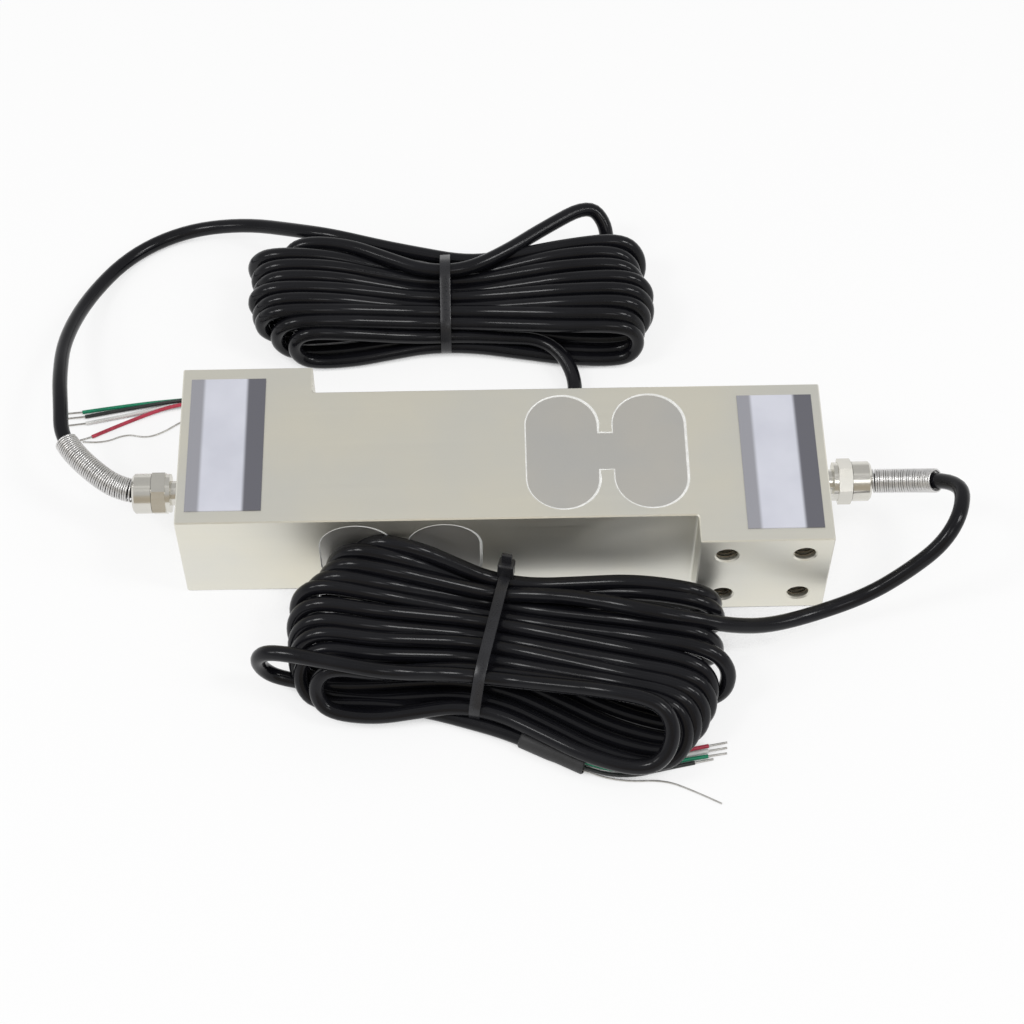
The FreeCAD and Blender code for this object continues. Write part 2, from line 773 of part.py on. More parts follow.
def make_hank(cable, plan):
    """A tied hank of cable as one closed solid, with the tie that pinches its waist."""
    rotation = Rotation(Vector(0, 0, 1), plan["heading"])
    sections = plan["sections"]
    waist = sections[2]
    body = new_body(f"{cable}_hank")
    sketches = []
    for i, (along, front, back, low, high, corner) in enumerate(sections):
        sketch = sketch_on(body, "YZ_Plane", f"{cable}_hank_section_{i + 1}", along)
        outline(sketch, bevelled(front, back, low, high, corner))
        sketches.append(sketch)
    left = body.newObject("PartDesign::AdditiveLoft", f"{cable}_hank_left")
    left.Profile = sketches[0]
    left.Sections = [sketches[1], sketches[2]]
    left.Ruled = True
    pad(body, f"{cable}_hank_waist", sketches[2], sections[3][0] - sections[2][0])
    right = body.newObject("PartDesign::AdditiveLoft", f"{cable}_hank_right")
    right.Profile = sketches[3]
    right.Sections = [sketches[4], sketches[5]]
    right.Ruled = True
    place(body, plan["centre"][0], plan["centre"][1], 0.0, rotation)
    NODES[f"{cable}_hank"] = body

    tie = new_body(f"{cable}_cable_tie")
    _, front, back, low, high, corner = waist
    strap = size("strap_thickness")
    ring = sketch_on(tie, "YZ_Plane", f"{cable}_strap_section")
    outline(ring, rounded(front, back, low, high, corner))
    outline(ring, rounded(term(front) - strap, term(back) + strap, term(low) - strap, term(high) + strap,
                          term(corner) + strap))
    pad(tie, f"{cable}_strap", ring, size("strap_width"), middle=True)
    head_front, head_low = plan["head"]
    head = sketch_on(tie, "YZ_Plane", f"{cable}_head_section")
    inner = term(head_front) + strap / 2 if head_low < high / 2 else term(head_front)
    base = term(head_low) + strap / 2 if head_low >= high / 2 else term(head_low)
    outline(head, rectangle(inner, inner + size("head_depth"), base, base + size("head_height")))
    pad(tie, f"{cable}_head", head, size("head_width"), middle=True)
    place(tie, plan["centre"][0], plan["centre"][1], 0.0, rotation)
    NODES[f"{cable}_cable_tie"] = tie
    doc.recompute()
    return body.Shape


def make_spring(side, edges, foot_x):
    """A close-wound bend spring as a bent tube with a wider foot ring that the nut holds."""
    sign = 1 if foot_x > 0 else -1
    start = Vector(foot_x, 0, SIZES["beam_height"] / 2)
    first = Part.LineSegment(start, edges[0].valueAt(edges[0].LastParameter)).toShape()
    chain = [first] + edges[1:]
    outer = tube(chain, SIZES["spring_width"])
    inner = tube(chain, SIZES["spring_width"] - 2 * SIZES["spring_wire"])
    foot = Part.makeCylinder(SIZES["spring_foot"] / 2, SIZES["spring_wire"], start, Vector(sign, 0, 0))
    solid_node(f"{side}_spring", outer.fuse(foot).cut(inner).removeSplitter())


def make_ends(cable, tail, cores, drain):
    """The heat-shrink sleeve on the tail's end and the cores, drain wire and tinned tips beyond it."""
    stop = Vector(*tail[-1])
    along = stop - Vector(*tail[-2])
    along.normalize()
    back_side = Vector(0, 0, 1).cross(along)
    if back_side.y < 0:
        back_side = back_side * -1
    start = stop - along * SIZES["sleeve_grip"]
    sleeve = Part.makeCylinder(SIZES["sleeve_width"] / 2, SIZES["sleeve_length"], start, along)
    bore = Part.makeCylinder(SIZES["cable_width"] / 2, SIZES["sleeve_length"], start, along)
    solid_node(f"{cable}_sleeve", sleeve.cut(bore))

    out = SIZES["sleeve_length"] - SIZES["sleeve_grip"] + 2.0
    tips = []
    for colour, (angle, points) in list(cores.items()) + [("drain", drain)]:
        bare = colour == "drain"
        turn = math.radians(angle)
        reach = SIZES["drain_circle"] if bare else SIZES["core_circle"]
        offset = back_side * (reach * math.cos(turn)) + Vector(0, 0, reach * math.sin(turn))
        begin = stop + offset
        path = [tuple(begin), tuple(begin + along * out)] + points
        label = f"{cable}_drain_wire" if bare else f"{cable}_{colour}_core"
        wire = route(path, label)
        solid_node(label, tube(wire, SIZES["drain_width"] if bare else SIZES["core_width"]))
        if not bare:
            end = Vector(*points[-1])
            heading = end - Vector(*points[-2])
            tips.append(Part.makeCylinder(SIZES["tip_width"] / 2, SIZES["tip_length"], end, heading))
    solid_node(f"{cable}_core_tips", Part.Compound(tips))


make_block()
make_covers()
make_gauges()
make_boards()
spring_foot = make_glands()
make_plates()
doc.recompute()

# The front cable leaves the right gland and the rear cable the left one.
front_edges = route(lead_points(1, FRONT_BESIDE, FRONT_BEYOND), "front_cable_lead")
rear_edges = route(lead_points(-1, REAR_BESIDE, REAR_BEYOND), "rear_cable_lead")
run_on = front_edges[2]
run_start = run_on.valueAt(run_on.FirstParameter)
run_way = run_on.tangentAt(run_on.FirstParameter)
run_stub = Part.LineSegment(run_start, run_start + run_way * SIZES["spring_tail"]).toShape()
make_spring("right", front_edges[:2] + [run_stub], spring_foot)
make_spring("left", rear_edges[:4], -spring_foot)

for cable, plan, lead, tail, cores, drain in (
    ("front", FRONT_HANK, front_edges, FRONT_TAIL, FRONT_CORES, FRONT_DRAIN),
    ("rear", REAR_HANK, rear_edges, REAR_TAIL, REAR_CORES, REAR_DRAIN),
):
    hank = make_hank(cable, plan)
    solid_node(f"{cable}_cable_lead", biggest(tube(lead, SIZES["cable_width"]).cut(hank)))
    tail_edges = route(tail, f"{cable}_cable_tail")
    solid_node(f"{cable}_cable_tail", biggest(tube(tail_edges, SIZES["cable_width"]).cut(hank)))
    make_ends(cable, tail, cores, drain)

doc.recompute()
for item in doc.Objects:
    if "Invalid" in item.State or "Error" in item.State:
        raise RuntimeError(f"{item.Name} has state {item.State}")
os.makedirs("parts", exist_ok=True)
for name, node in NODES.items():
    shape = node.Shape
    if shape.isNull() or not shape.isValid():
        raise RuntimeError(f"{name} has no valid shape")
    shape.exportStep(f"parts/{name}.step")
    print(f"{name}: {len(shape.Solids)} solids, {shape.Volume:.1f} mm3")
print(f"{len(NODES)} nodes")
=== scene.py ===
"""Looks of a two-axis force sensor: a plated block with two glands and two tied cables."""

import logging
import math
from dataclasses import dataclass
from enum import Enum

import bmesh
import bpy
from bpy import types
from mathutils import Matrix, Vector, noise


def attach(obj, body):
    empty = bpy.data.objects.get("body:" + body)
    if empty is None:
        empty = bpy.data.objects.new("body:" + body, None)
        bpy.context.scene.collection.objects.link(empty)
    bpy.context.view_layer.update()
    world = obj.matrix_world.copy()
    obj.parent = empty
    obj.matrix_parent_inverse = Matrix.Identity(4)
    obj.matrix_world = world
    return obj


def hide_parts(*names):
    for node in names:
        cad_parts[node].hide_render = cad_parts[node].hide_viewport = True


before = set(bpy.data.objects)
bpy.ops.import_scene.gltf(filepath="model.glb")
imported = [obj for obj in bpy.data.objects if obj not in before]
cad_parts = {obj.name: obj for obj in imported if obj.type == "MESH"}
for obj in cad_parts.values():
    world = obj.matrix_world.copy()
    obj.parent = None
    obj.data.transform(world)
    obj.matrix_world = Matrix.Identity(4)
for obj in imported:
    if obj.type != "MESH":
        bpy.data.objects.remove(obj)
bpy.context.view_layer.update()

LOG = logging.getLogger("force_sensor")
MM = 0.001
ROOT = "root"
UP = Vector((0.0, 0.0, 1.0))

# Sizes in millimetres and degrees
CABLE_WIDTH = 5.0
MERGE = 0.001
SHARP_ANGLE = 35.0

Point = tuple[float, float, float]
Colour = tuple[float, float, float]
Range = tuple[float, float]
Socket = types.NodeSocket


class Slot(Enum):
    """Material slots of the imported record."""

    BLOCK = "plated_block"
    COVER = "plated_cover"
    SPRING = "spring_steel"
    TIE = "tie_nylon"
    JACKET = "cable_jacket"
    SLEEVE = "sleeve_plastic"
    COPPER = "tinned_copper"
    RED = "red_core"
    GREEN = "green_core"
    BLACK = "black_core"
    WHITE = "white_core"


class Side(Enum):
    """The two ends of the block, as the sign of X."""

    LEFT = -1
    RIGHT = 1

    @property
    def word(self) -> str:
        """The end's name as the nodes use it."""
        return self.name.lower()


# Shared helpers
def show(name: str, data: types.ID, finish: types.Material) -> types.Object:
    """Links a finished piece, gives it its material, and rides it on the root body.

    Args:
        name: Name of the piece.
        data: Its mesh or curve, with its place in its own points.
        finish: Its material.

    Returns:
        The new object.
    """
    piece = bpy.data.objects.new(name, data)
    bpy.context.scene.collection.objects.link(piece)
    data.materials.append(finish)
    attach(piece, ROOT)
    LOG.info("made %s", name)
    return piece


def dress(node: str, finish: types.Material) -> None:
    """Gives a carried-over node its material."""
    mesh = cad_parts[node].data
    mesh.materials.clear()
    mesh.materials.append(finish)
    LOG.info("dressed %s", node)


def to_mesh(name: str, bm: bmesh.types.BMesh) -> types.Mesh:
    """Ends a bmesh as a mesh that is shaded smooth up to its sharp edges, and frees it."""
    bmesh.ops.recalc_face_normals(bm, faces=bm.faces[:])
    for face in bm.faces:
        face.smooth = True
    mesh = bpy.data.meshes.new(name)
    bm.to_mesh(mesh)
    bm.free()
    mesh.set_sharp_from_angle(angle=math.radians(SHARP_ANGLE))
    return mesh


def soften(
    bm: bmesh.types.BMesh, edges: list, offset: float, segments: int, clamp: bool = False,
) -> list[bmesh.types.BMFace]:
    """Rounds off edges of a bmesh, and returns the new faces."""
    return bmesh.ops.bevel(
        bm, geom=edges, offset=offset, affect="EDGES", segments=segments, profile=0.5, material=-1,
        clamp_overlap=clamp,
    )["faces"]


def round_curve(name: str, width: float, sides: int, capped: bool = True) -> types.Curve:
    """An empty curve with a round section, its width in millimetres."""
    curve = bpy.data.curves.new(name, "CURVE")
    curve.dimensions = "3D"
    curve.bevel_depth = width / 2 * MM
    curve.bevel_resolution = sides
    curve.use_fill_caps = capped
    return curve


def add_spline(curve: types.Curve, kind: str, points: list[Point]) -> types.Spline:
    """Adds a spline to a curve, with its points in metres."""
    spline = curve.splines.new(kind)
    spline.points.add(len(points) - 1)
    for knot, point in zip(spline.points, points):
        knot.co = (*point, 1.0)
    spline.use_smooth = True
    return spline


def spline_curve(name: str, points: list[Point], width: float, sides: int, steps: int) -> types.Curve:
    """A smooth round cord with the given route points as its control points.

    Args:
        name: Name of the curve.
        points: Route points in millimetres.
        width: Diameter in millimetres, 0 for a bare line.
        sides: Bevel resolution of the round section.
        steps: Steps of the spline between points.

    Returns:
        The curve.
    """
    curve = round_curve(name, width, sides, capped=width > 0)
    curve.resolution_u = steps
    spline = add_spline(curve, "NURBS", [(x * MM, y * MM, z * MM) for x, y, z in points])
    spline.order_u = 3
    spline.use_endpoint_u = True
    return curve


def route_line(points: list[Point]) -> list[Vector]:
    """Points along a route's smooth line, in order and in metres, read from its spline."""
    curve = spline_curve("route_line", points, width=0.0, sides=0, steps=12)
    holder = bpy.data.objects.new("route_line", curve)
    mesh = bpy.data.meshes.new_from_object(holder)
    line = [vertex.co.copy() for vertex in mesh.vertices]
    bpy.data.objects.remove(holder)
    bpy.data.curves.remove(curve)
    bpy.data.meshes.remove(mesh)
    return line


def line_length(line: list[Vector]) -> float:
    """Length of a line of points, in the points' own unit."""
    return sum((b - a).length for a, b in zip(line, line[1:]))


def ease(share: float) -> float:
    """A smooth step from 0 to 1."""
    share = min(max(share, 0.0), 1.0)
    return share * share * (3.0 - 2.0 * share)


# Finishes
BLOTCH_RANGE = (0.35, 0.65)
GLOSS_RANGE = (0.3, 0.7)
BLOTCH_DETAIL = 3.0
FINE_DETAIL = 2.0
LINE_STRETCH = (0.02, 1.0, 1.0)
RELIEF_DEPTH = 0.0001


@dataclass
class Graph:
    """A node tree with short calls that add and join nodes."""

    tree: types.NodeTree

    def add(self, kind: str, inputs: dict | None = None, **settings: object) -> types.Node:
        """Adds a shader node.

        Args:
            kind: Node type without its ShaderNode prefix.
            inputs: What its inputs get, by name or number: a value, or a socket to join.
            settings: Properties that are set on the node first.

        Returns:
            The node.
        """
        node = self.tree.nodes.new("ShaderNode" + kind)
        for name, value in settings.items():
            setattr(node, name, value)
        self.feed(node, inputs or {})
        return node

    def feed(self, node: types.Node, inputs: dict) -> None:
        """Sets a node's inputs, by name or number, or joins them where a socket is given."""
        for key, value in inputs.items():
            if isinstance(value, Socket):
                self.tree.links.new(value, node.inputs[key])
            else:
                node.inputs[key].default_value = value

    def mix(self, kind: str, factor: object, first: object, second: object) -> Socket:
        """Mixes two values or sockets by a factor, and returns the result's socket."""
        inputs = {"Factor": factor, "A": first, "B": second}
        return self.add("Mix", inputs, data_type=kind).outputs["Result"]

    def stretch(self, value: Socket, low: float, high: float, kind: str = "SMOOTHSTEP") -> Socket:
        """Maps the range from low to high onto 0 to 1, and returns the result's socket."""
        inputs = {"Value": value, "From Min": low, "From Max": high}
        return self.add("MapRange", inputs, interpolation_type=kind).outputs["Result"]


def variation_group() -> types.NodeTree:
    """The shared surface effect: broad blotches, fine grain and stretched hairlines.

    Returns:
        The node group, built on the first call.
    """
    name = "surface_variation"
    if name in bpy.data.node_groups:
        return bpy.data.node_groups[name]
    tree = bpy.data.node_groups.new(name, "ShaderNodeTree")
    tree.interface.new_socket(name="Place", in_out="INPUT", socket_type="NodeSocketVector")
    for label in ("Blotch Scale", "Grain Scale", "Line Scale"):
        tree.interface.new_socket(name=label, in_out="INPUT", socket_type="NodeSocketFloat")
    for label in ("Blotch", "Grain", "Lines"):
        tree.interface.new_socket(name=label, in_out="OUTPUT", socket_type="NodeSocketFloat")
    graph = Graph(tree)
    given = tree.nodes.new("NodeGroupInput").outputs
    place = given["Place"]
    thin = graph.add("VectorMath", {0: place, 1: LINE_STRETCH}, operation="MULTIPLY").outputs["Vector"]
    blotch, grain, lines = (
        graph.add("TexNoise", {"Vector": way, "Scale": given[scale], "Detail": detail}).outputs["Fac"]
        for way, scale, detail in (
            (place, "Blotch Scale", BLOTCH_DETAIL),
            (place, "Grain Scale", FINE_DETAIL),
            (thin, "Line Scale", FINE_DETAIL),
        )
    )
    spread = graph.stretch(blotch, *BLOTCH_RANGE, kind="LINEAR")
    graph.feed(tree.nodes.new("NodeGroupOutput"), {"Blotch": spread, "Grain": grain, "Lines": lines})
    return tree


@dataclass(frozen=True)
class Finish:
    """A surface: two tints that drift over it, its gloss and its fine relief."""

    name: str
    tint: Colour
    drift: Colour
    rough: Range
    blotch: float
    grain: float
    metallic: float = 0.0
    line: float = 900.0
    line_share: float = 0.0
    relief: float = 0.1
    specular: float = 0.5

    def colour(self, graph: Graph, place: Socket, drift: Socket) -> Socket:
        """Adds the nodes of the colour.

        Args:
            graph: The material's nodes.
            place: Object coordinates, for finishes with a pattern.
            drift: The blotch mask.

        Returns:
            The colour socket.
        """
        return graph.mix("RGBA", drift, (*self.tint, 1.0), (*self.drift, 1.0))

    def material(self) -> types.Material:
        """The finish as a material, built on the first call."""
        label = f"{self.name}_finish"
        if label in bpy.data.materials:
            return bpy.data.materials[label]
        made = bpy.data.materials.new(label)
        made.use_nodes = True
        graph = Graph(made.node_tree)
        place = graph.add("TexCoord").outputs["Object"]
        scales = {"Blotch Scale": self.blotch, "Grain Scale": self.grain, "Line Scale": self.line}
        effect = graph.add("Group", {"Place": place, **scales}, node_tree=variation_group()).outputs
        height = graph.mix("FLOAT", self.line_share, effect["Grain"], effect["Lines"])
        gloss = graph.add("MapRange", {
            "Value": height, "From Min": GLOSS_RANGE[0], "From Max": GLOSS_RANGE[1],
            "To Min": self.rough[0], "To Max": self.rough[1],
        })
        bump = graph.add("Bump", {"Height": height, "Strength": self.relief, "Distance": RELIEF_DEPTH})
        graph.feed(made.node_tree.nodes["Principled BSDF"], {
            "Base Color": self.colour(graph, place, effect["Blotch"]),
            "Metallic": self.metallic,
            "Roughness": gloss.outputs["Result"],
            "Specular IOR Level": self.specular,
            "Normal": bump.outputs["Normal"],
        })
        return made


@dataclass(frozen=True)
class LabelFinish(Finish):
    """A bare film label with a plain grey band along each long edge."""

    start: float = 0.0
    width: float = 24.0
    soft: float = 0.03
    left_edge: float = 0.18
    right_edge: float = 0.755
    left_band: Colour = (0.3, 0.3, 0.33)
    right_band: Colour = (0.12, 0.12, 0.14)

    def colour(self, graph: Graph, place: Socket, drift: Socket) -> Socket:
        """Adds the bands across the label to the drifting ground colour."""
        result = super().colour(graph, place, drift)
        along = graph.add("SeparateXYZ", {"Vector": place}).outputs["X"]
        across = graph.stretch(along, self.start * MM, (self.start + self.width) * MM, kind="LINEAR")
        for low, high, tint in (
            (self.left_edge + self.soft, self.left_edge - self.soft, self.left_band),
            (self.right_edge - self.soft, self.right_edge + self.soft, self.right_band),
        ):
            result = graph.mix("RGBA", graph.stretch(across, low, high), result, (*tint, 1.0))
        return result


def core_finish(name: str, tint: Colour, drift: Colour, rough: Range = (0.35, 0.5)) -> Finish:
    """The finish of a wire's plastic cover."""
    return Finish(name, tint, drift, rough, blotch=300.0, grain=3500.0, relief=0.15)


BLOCK = Finish(
    "nickel_block", (0.83, 0.80, 0.69), (0.775, 0.765, 0.70), rough=(0.40, 0.50), blotch=22.0, grain=1800.0,
    metallic=1.0, line=700.0, line_share=0.35, relief=0.05,
)
COVER = Finish(
    "matt_cover", (0.655, 0.635, 0.585), (0.615, 0.61, 0.585), rough=(0.42, 0.50), blotch=30.0, grain=2600.0,
    metallic=1.0, line=700.0, line_share=0.2, relief=0.06,
)
# Painted highlight: the pale bead round each cover stands for the highlight on the edge of its gap.
GLUE_AND_HIGHLIGHT = Finish(
    "cover_glue", (0.86, 0.86, 0.83), (0.74, 0.74, 0.71), rough=(0.25, 0.45), blotch=400.0, grain=3000.0,
    relief=0.2,
)
GLAND = Finish(
    "bright_nickel", (0.72, 0.70, 0.64), (0.66, 0.645, 0.60), rough=(0.16, 0.24), blotch=60.0, grain=2500.0,
    metallic=1.0, line=1500.0, line_share=0.5, relief=0.04,
)
# Painted shade: the dark brown tint of the threads stands for the shade inside the bores.
SHADED_THREAD = Finish(
    "cut_thread_shade", (0.20, 0.17, 0.125), (0.13, 0.11, 0.08), rough=(0.28, 0.42), blotch=500.0, grain=3000.0,
    metallic=1.0,
)
SPRING = Finish(
    "spring_wire", (0.70, 0.69, 0.68), (0.62, 0.615, 0.61), rough=(0.30, 0.40), blotch=150.0, grain=3000.0,
    metallic=1.0, relief=0.03,
)
JACKET = Finish(
    "cable_jacket", (0.005, 0.005, 0.0065), (0.0075, 0.0075, 0.0095), rough=(0.12, 0.20), blotch=60.0,
    grain=900.0, relief=0.04, specular=0.22,
)
NYLON = Finish(
    "tie_nylon", (0.013, 0.013, 0.015), (0.020, 0.020, 0.023), rough=(0.24, 0.36), blotch=120.0,
    grain=2600.0, specular=0.4,
)
SHRINK = Finish(
    "shrink_sleeve", (0.016, 0.016, 0.017), (0.022, 0.022, 0.023), rough=(0.45, 0.6), blotch=90.0,
    grain=1800.0, relief=0.25,
)
RUBBER = Finish(
    "seal_rubber", (0.02, 0.02, 0.02), (0.03, 0.03, 0.03), rough=(0.55, 0.7), blotch=120.0, grain=2200.0,
    relief=0.2,
)
COPPER = Finish(
    "tinned_wire", (0.62, 0.61, 0.59), (0.50, 0.49, 0.47), rough=(0.25, 0.38), blotch=700.0, grain=5000.0,
    metallic=1.0, relief=0.2,
)
FOIL = Finish(
    "gauge_foil", (0.62, 0.42, 0.22), (0.55, 0.36, 0.18), rough=(0.35, 0.5), blotch=400.0, grain=3000.0,
    metallic=0.4, line=2500.0, line_share=0.6, relief=0.2,
)
BOARD = Finish(
    "terminal_board", (0.05, 0.17, 0.07), (0.04, 0.14, 0.06), rough=(0.35, 0.5), blotch=200.0, grain=3000.0,
    relief=0.2,
)
RED = core_finish("red_core", (0.50, 0.035, 0.075), (0.43, 0.03, 0.06))
GREEN = core_finish("green_core", (0.0, 0.24, 0.12), (0.0, 0.20, 0.10))
BLACK = core_finish("black_core", (0.016, 0.018, 0.018), (0.024, 0.026, 0.026))
WHITE = core_finish("white_core", (0.72, 0.72, 0.70), (0.66, 0.66, 0.65))
INNER = core_finish("inner_core", (0.35, 0.33, 0.30), (0.30, 0.28, 0.26), rough=(0.4, 0.55))


# The cables
STRAND_SHARES = (-0.74, -0.44, -0.15, 0.15, 0.44, 0.74)
FOLD_ANGLES = (67.5, 22.5, -22.5, -67.5)
HALF_STEP = 22.5
HOLD = 0.92


@dataclass(frozen=True)
class Fold:
    """One fold at an end of a hank, in millimetres and degrees.

    The fold is a half circle that leans back from the floor. Place is where its lower strand lies across
    the hank, and low how far above the floor. Back and lift move its upper strand. Arrive is where the
    strand comes in across the hank, for a fold that the cable enters from below. Hold is the share of the
    upper strand, from the tie, at which it has reached the fold.
    """

    reach: float
    radius: float
    lean: float
    place: float
    back: float = 0.0
    lift: float = 0.0
    low: float = 0.0
    arrive: float = 0.0
    hold: float = HOLD

    def lower(self) -> tuple[float, float]:
        """Where the lower strand lies, across the hank and up."""
        return self.place, CABLE_WIDTH / 2 + self.low

    def upper(self) -> tuple[float, float]:
        """Where the upper strand lies, across the hank and up."""
        across, up = self.lower()
        lean = math.radians(self.lean)
        across += 2 * self.radius * math.cos(lean) + self.back
        up += 2 * self.radius * math.sin(lean) + self.lift
        return across, up


@dataclass(frozen=True)
class Hank:
    """A tied hank: its place, the folds at its two ends and each turn's place under the tie.

    The upper strands run from the near folds to the far ones, and way is the sign of that run along the
    hank. A tie entry is where a turn's upper or lower strand lies under the tie, across and up.
    """

    centre: tuple[float, float]
    heading: float
    way: int
    near: tuple[Fold, ...]
    far: tuple[Fold, ...]
    upper_ties: tuple[tuple[float, float], ...]
    lower_ties: tuple[tuple[float, float], ...]

    def spot(self, along: float, across: float, up: float) -> Point:
        """A point of the hank's own frame in the part's frame.

        Args:
            along: Distance along the hank from its tie.
            across: Distance across it, to the back.
            up: Height above the floor.

        Returns:
            The point in millimetres.
        """
        turn = math.radians(self.heading)
        x = self.centre[0] + along * math.cos(turn) - across * math.sin(turn)
        y = self.centre[1] + along * math.sin(turn) + across * math.cos(turn)
        return x, y, up

    def fold_points(self, fold: Fold, side: int, start: float, downwards: bool) -> list[Point]:
        """Control points round one fold.

        Args:
            fold: The fold.
            side: Sign of its end along the hank.
            start: Where the strand that comes in lies across the hank, if it is a lower one.
            downwards: Whether the cable goes from the upper strand to the lower one.

        Returns:
            The points in order.
        """
        lean = math.radians(fold.lean)
        corner = fold.radius / math.cos(math.radians(HALF_STEP))
        floor = fold.lower()[1]
        points = []
        for step, angle in enumerate(FOLD_ANGLES):
            turn = math.radians(angle if downwards else -angle)
            rise = fold.radius + corner * math.sin(turn)
            share = rise / (2 * fold.radius)
            place = start + (fold.place - start) * step / (len(FOLD_ANGLES) - 1)
            points.append(self.spot(
                side * (fold.reach - fold.radius + corner * math.cos(turn)),
                place + rise * math.cos(lean) + fold.back * share,
                floor + rise * math.sin(lean) + fold.lift * share,
            ))
        return points

    def strand(
        self, turn: int, upper: bool, start: Fold, end: Fold, end_place: float,
        shares: tuple[float, ...] = STRAND_SHARES,
    ) -> list[Point]:
        """Control points of one strand from one end of the hank through the tie.

        Args:
            turn: Number of the turn.
            upper: Whether it is the turn's upper strand.
            start: The fold that it comes from.
            end: The fold that it goes to.
            end_place: Where a lower strand arrives across the hank.
            shares: Places along the strand, from -1 at its start to 1 at its end.

        Returns:
            The points in order.
        """
        way = self.way if upper else -self.way
        across, tie_up = (self.upper_ties if upper else self.lower_ties)[turn]
        points = []
        for share in shares:
            fold = start if share < 0 else end
            side, up = fold.upper() if upper else fold.lower()
            if not upper and share > 0:
                side = end_place
            blend = ease(abs(share) / (fold.hold if upper else HOLD))
            points.append(self.spot(
                way * share * (fold.reach - fold.radius),
                across + (side - across) * blend,
                tie_up + (up - tie_up) * blend,
            ))
        return points

    def points(self, first_shares: tuple[float, ...]) -> list[Point]:
        """Control points of all turns, up to the last far fold.

        Args:
            first_shares: Places along the first strand that the lead leaves to the hank.

        Returns:
            The points in order.
        """
        points = []
        for turn, far in enumerate(self.far):
            start = self.near[turn - 1] if turn else far
            shares = STRAND_SHARES if turn else first_shares
            points += self.strand(turn, True, start, far, far.place, shares)
            points += self.fold_points(far, self.way, far.place, True)
            if turn < len(self.near):
                near = self.near[turn]
                points += self.strand(turn, False, far, near, near.arrive)
                points += self.fold_points(near, -self.way, near.arrive, False)
        return points


FRONT_HANK = Hank(
    centre=(-4.6, -52.5),
    heading=-13.4,
    way=-1,
    far=(
        Fold(55.8, 12.0, 80.0, 4.8, 0.0, 1.9), Fold(48.0, 12.5, 84.0, 14.6, 0.0, 3.6),
        Fold(54.3, 12.5, 82.0, 9.9, 0.0, 2.7), Fold(59.0, 12.0, 75.0, -1.5, 0.0, 0.6),
        Fold(62.4, 12.0, 70.0, -7.0), Fold(61.7, 11.5, 65.0, -14.0),
        Fold(60.0, 11.0, 62.0, -19.5), Fold(58.5, 11.0, 58.0, -25.0),
        Fold(49.6, 8.2, 60.0, -32.0, 0.0, 0.0, 2.0), Fold(69.2, 9.5, 90.0, -23.4, -1.6, 1.0, 1.5, hold=0.5),
        Fold(55.9, 10.0, 55.0, -29.0),
    ),
    near=(
        Fold(66.8, 11.5, 72.0, 17.2, arrive=29.2), Fold(68.5, 11.0, 70.0, 14.2, arrive=22.5),
        Fold(70.0, 11.0, 66.0, 1.6, arrive=11.5), Fold(75.4, 12.0, 62.0, -6.5, arrive=-2.8),
        Fold(71.0, 11.0, 60.0, -10.5, arrive=-8.5), Fold(71.2, 11.0, 58.0, -16.0, arrive=-13.2),
        Fold(70.0, 11.0, 56.0, -20.5, arrive=-18.6), Fold(66.0, 11.0, 50.0, -27.5, arrive=-28.0),
        Fold(62.1, 11.0, 42.0, -38.0, 4.1, 2.0, 6.5, arrive=-33.6),
        Fold(68.0, 11.0, 54.0, -24.0, arrive=-23.2),
    ),
    upper_ties=(
        (15.4, 14.2), (20.3, 13.9), (20.2, 8.8), (14.8, 9.2), (10.3, 9.0), (6.5, 11.4), (2.5, 8.9),
        (-1.5, 11.2), (-10.0, 9.6), (-13.6, 12.4), (-5.4, 8.8),
    ),
    lower_ties=(
        (21.5, 3.7), (16.8, 3.7), (12.1, 3.7), (7.4, 3.7), (2.7, 3.7), (-2.0, 3.7), (-6.7, 3.7),
        (-16.2, 3.7), (-21.8, 6.8), (-11.4, 3.7),
    ),
)
REAR_HANK = Hank(
    centre=(-18.0, 84.0),
    heading=0.0,
    way=1,
    far=(
        Fold(67.7, 11.0, 68.0, 8.7, hold=1.1), Fold(57.0, 10.5, 36.0, 18.0, 1.0, 4.5, hold=1.25),
        Fold(65.5, 11.0, 70.0, 3.7, 0.0, -3.5, 3.5), Fold(67.0, 11.0, 72.0, -1.1),
        Fold(69.4, 11.0, 75.0, -5.7, 0.0, -3.5, 3.5), Fold(69.4, 11.0, 78.0, -10.2),
        Fold(68.0, 10.5, 81.0, -13.7, 0.0, -3.5, 3.5), Fold(66.0, 9.5, 85.0, -16.1),
        Fold(65.5, 8.2, 82.0, -20.0),
    ),
    near=(
        Fold(55.6, 10.0, 66.0, 11.3, arrive=11.3), Fold(66.3, 11.0, 70.0, 5.0, arrive=15.0),
        Fold(64.8, 11.0, 72.0, 0.7, 0.0, -3.5, 3.5, arrive=6.0), Fold(64.2, 11.0, 75.0, -3.4, arrive=2.0),
        Fold(65.5, 11.0, 78.0, -7.4, 0.0, -3.5, 3.5, arrive=-3.0),
        Fold(64.0, 11.0, 81.0, -11.4, arrive=-7.5),
        Fold(62.9, 10.5, 84.0, -14.5, 0.0, -3.5, 3.5, arrive=-11.0),
        Fold(57.7, 9.5, 87.0, -16.7, arrive=-15.0),
    ),
    upper_ties=(
        (14.5, 13.5), (5.6, 19.6), (10.2, 11.0), (6.8, 12.9), (3.4, 11.0), (0.0, 12.9), (-3.4, 11.0),
        (-6.2, 13.0), (-9.8, 11.4),
    ),
    lower_ties=(
        (10.4, 3.7), (13.4, 6.9), (7.0, 6.9), (3.6, 3.7), (0.2, 6.9), (-3.2, 3.7), (-6.6, 6.9),
        (-10.0, 3.7), (-13.4, 3.7),
    ),
)
REAR_LAST_FOLD = Fold(51.7, 8.2, 88.0, -19.0)
REAR_LAST_STRAND = [(-33.0, -17.5, 16.5), (-11.0, -13.6, 8.6), (6.0, -12.6, 7.7)]

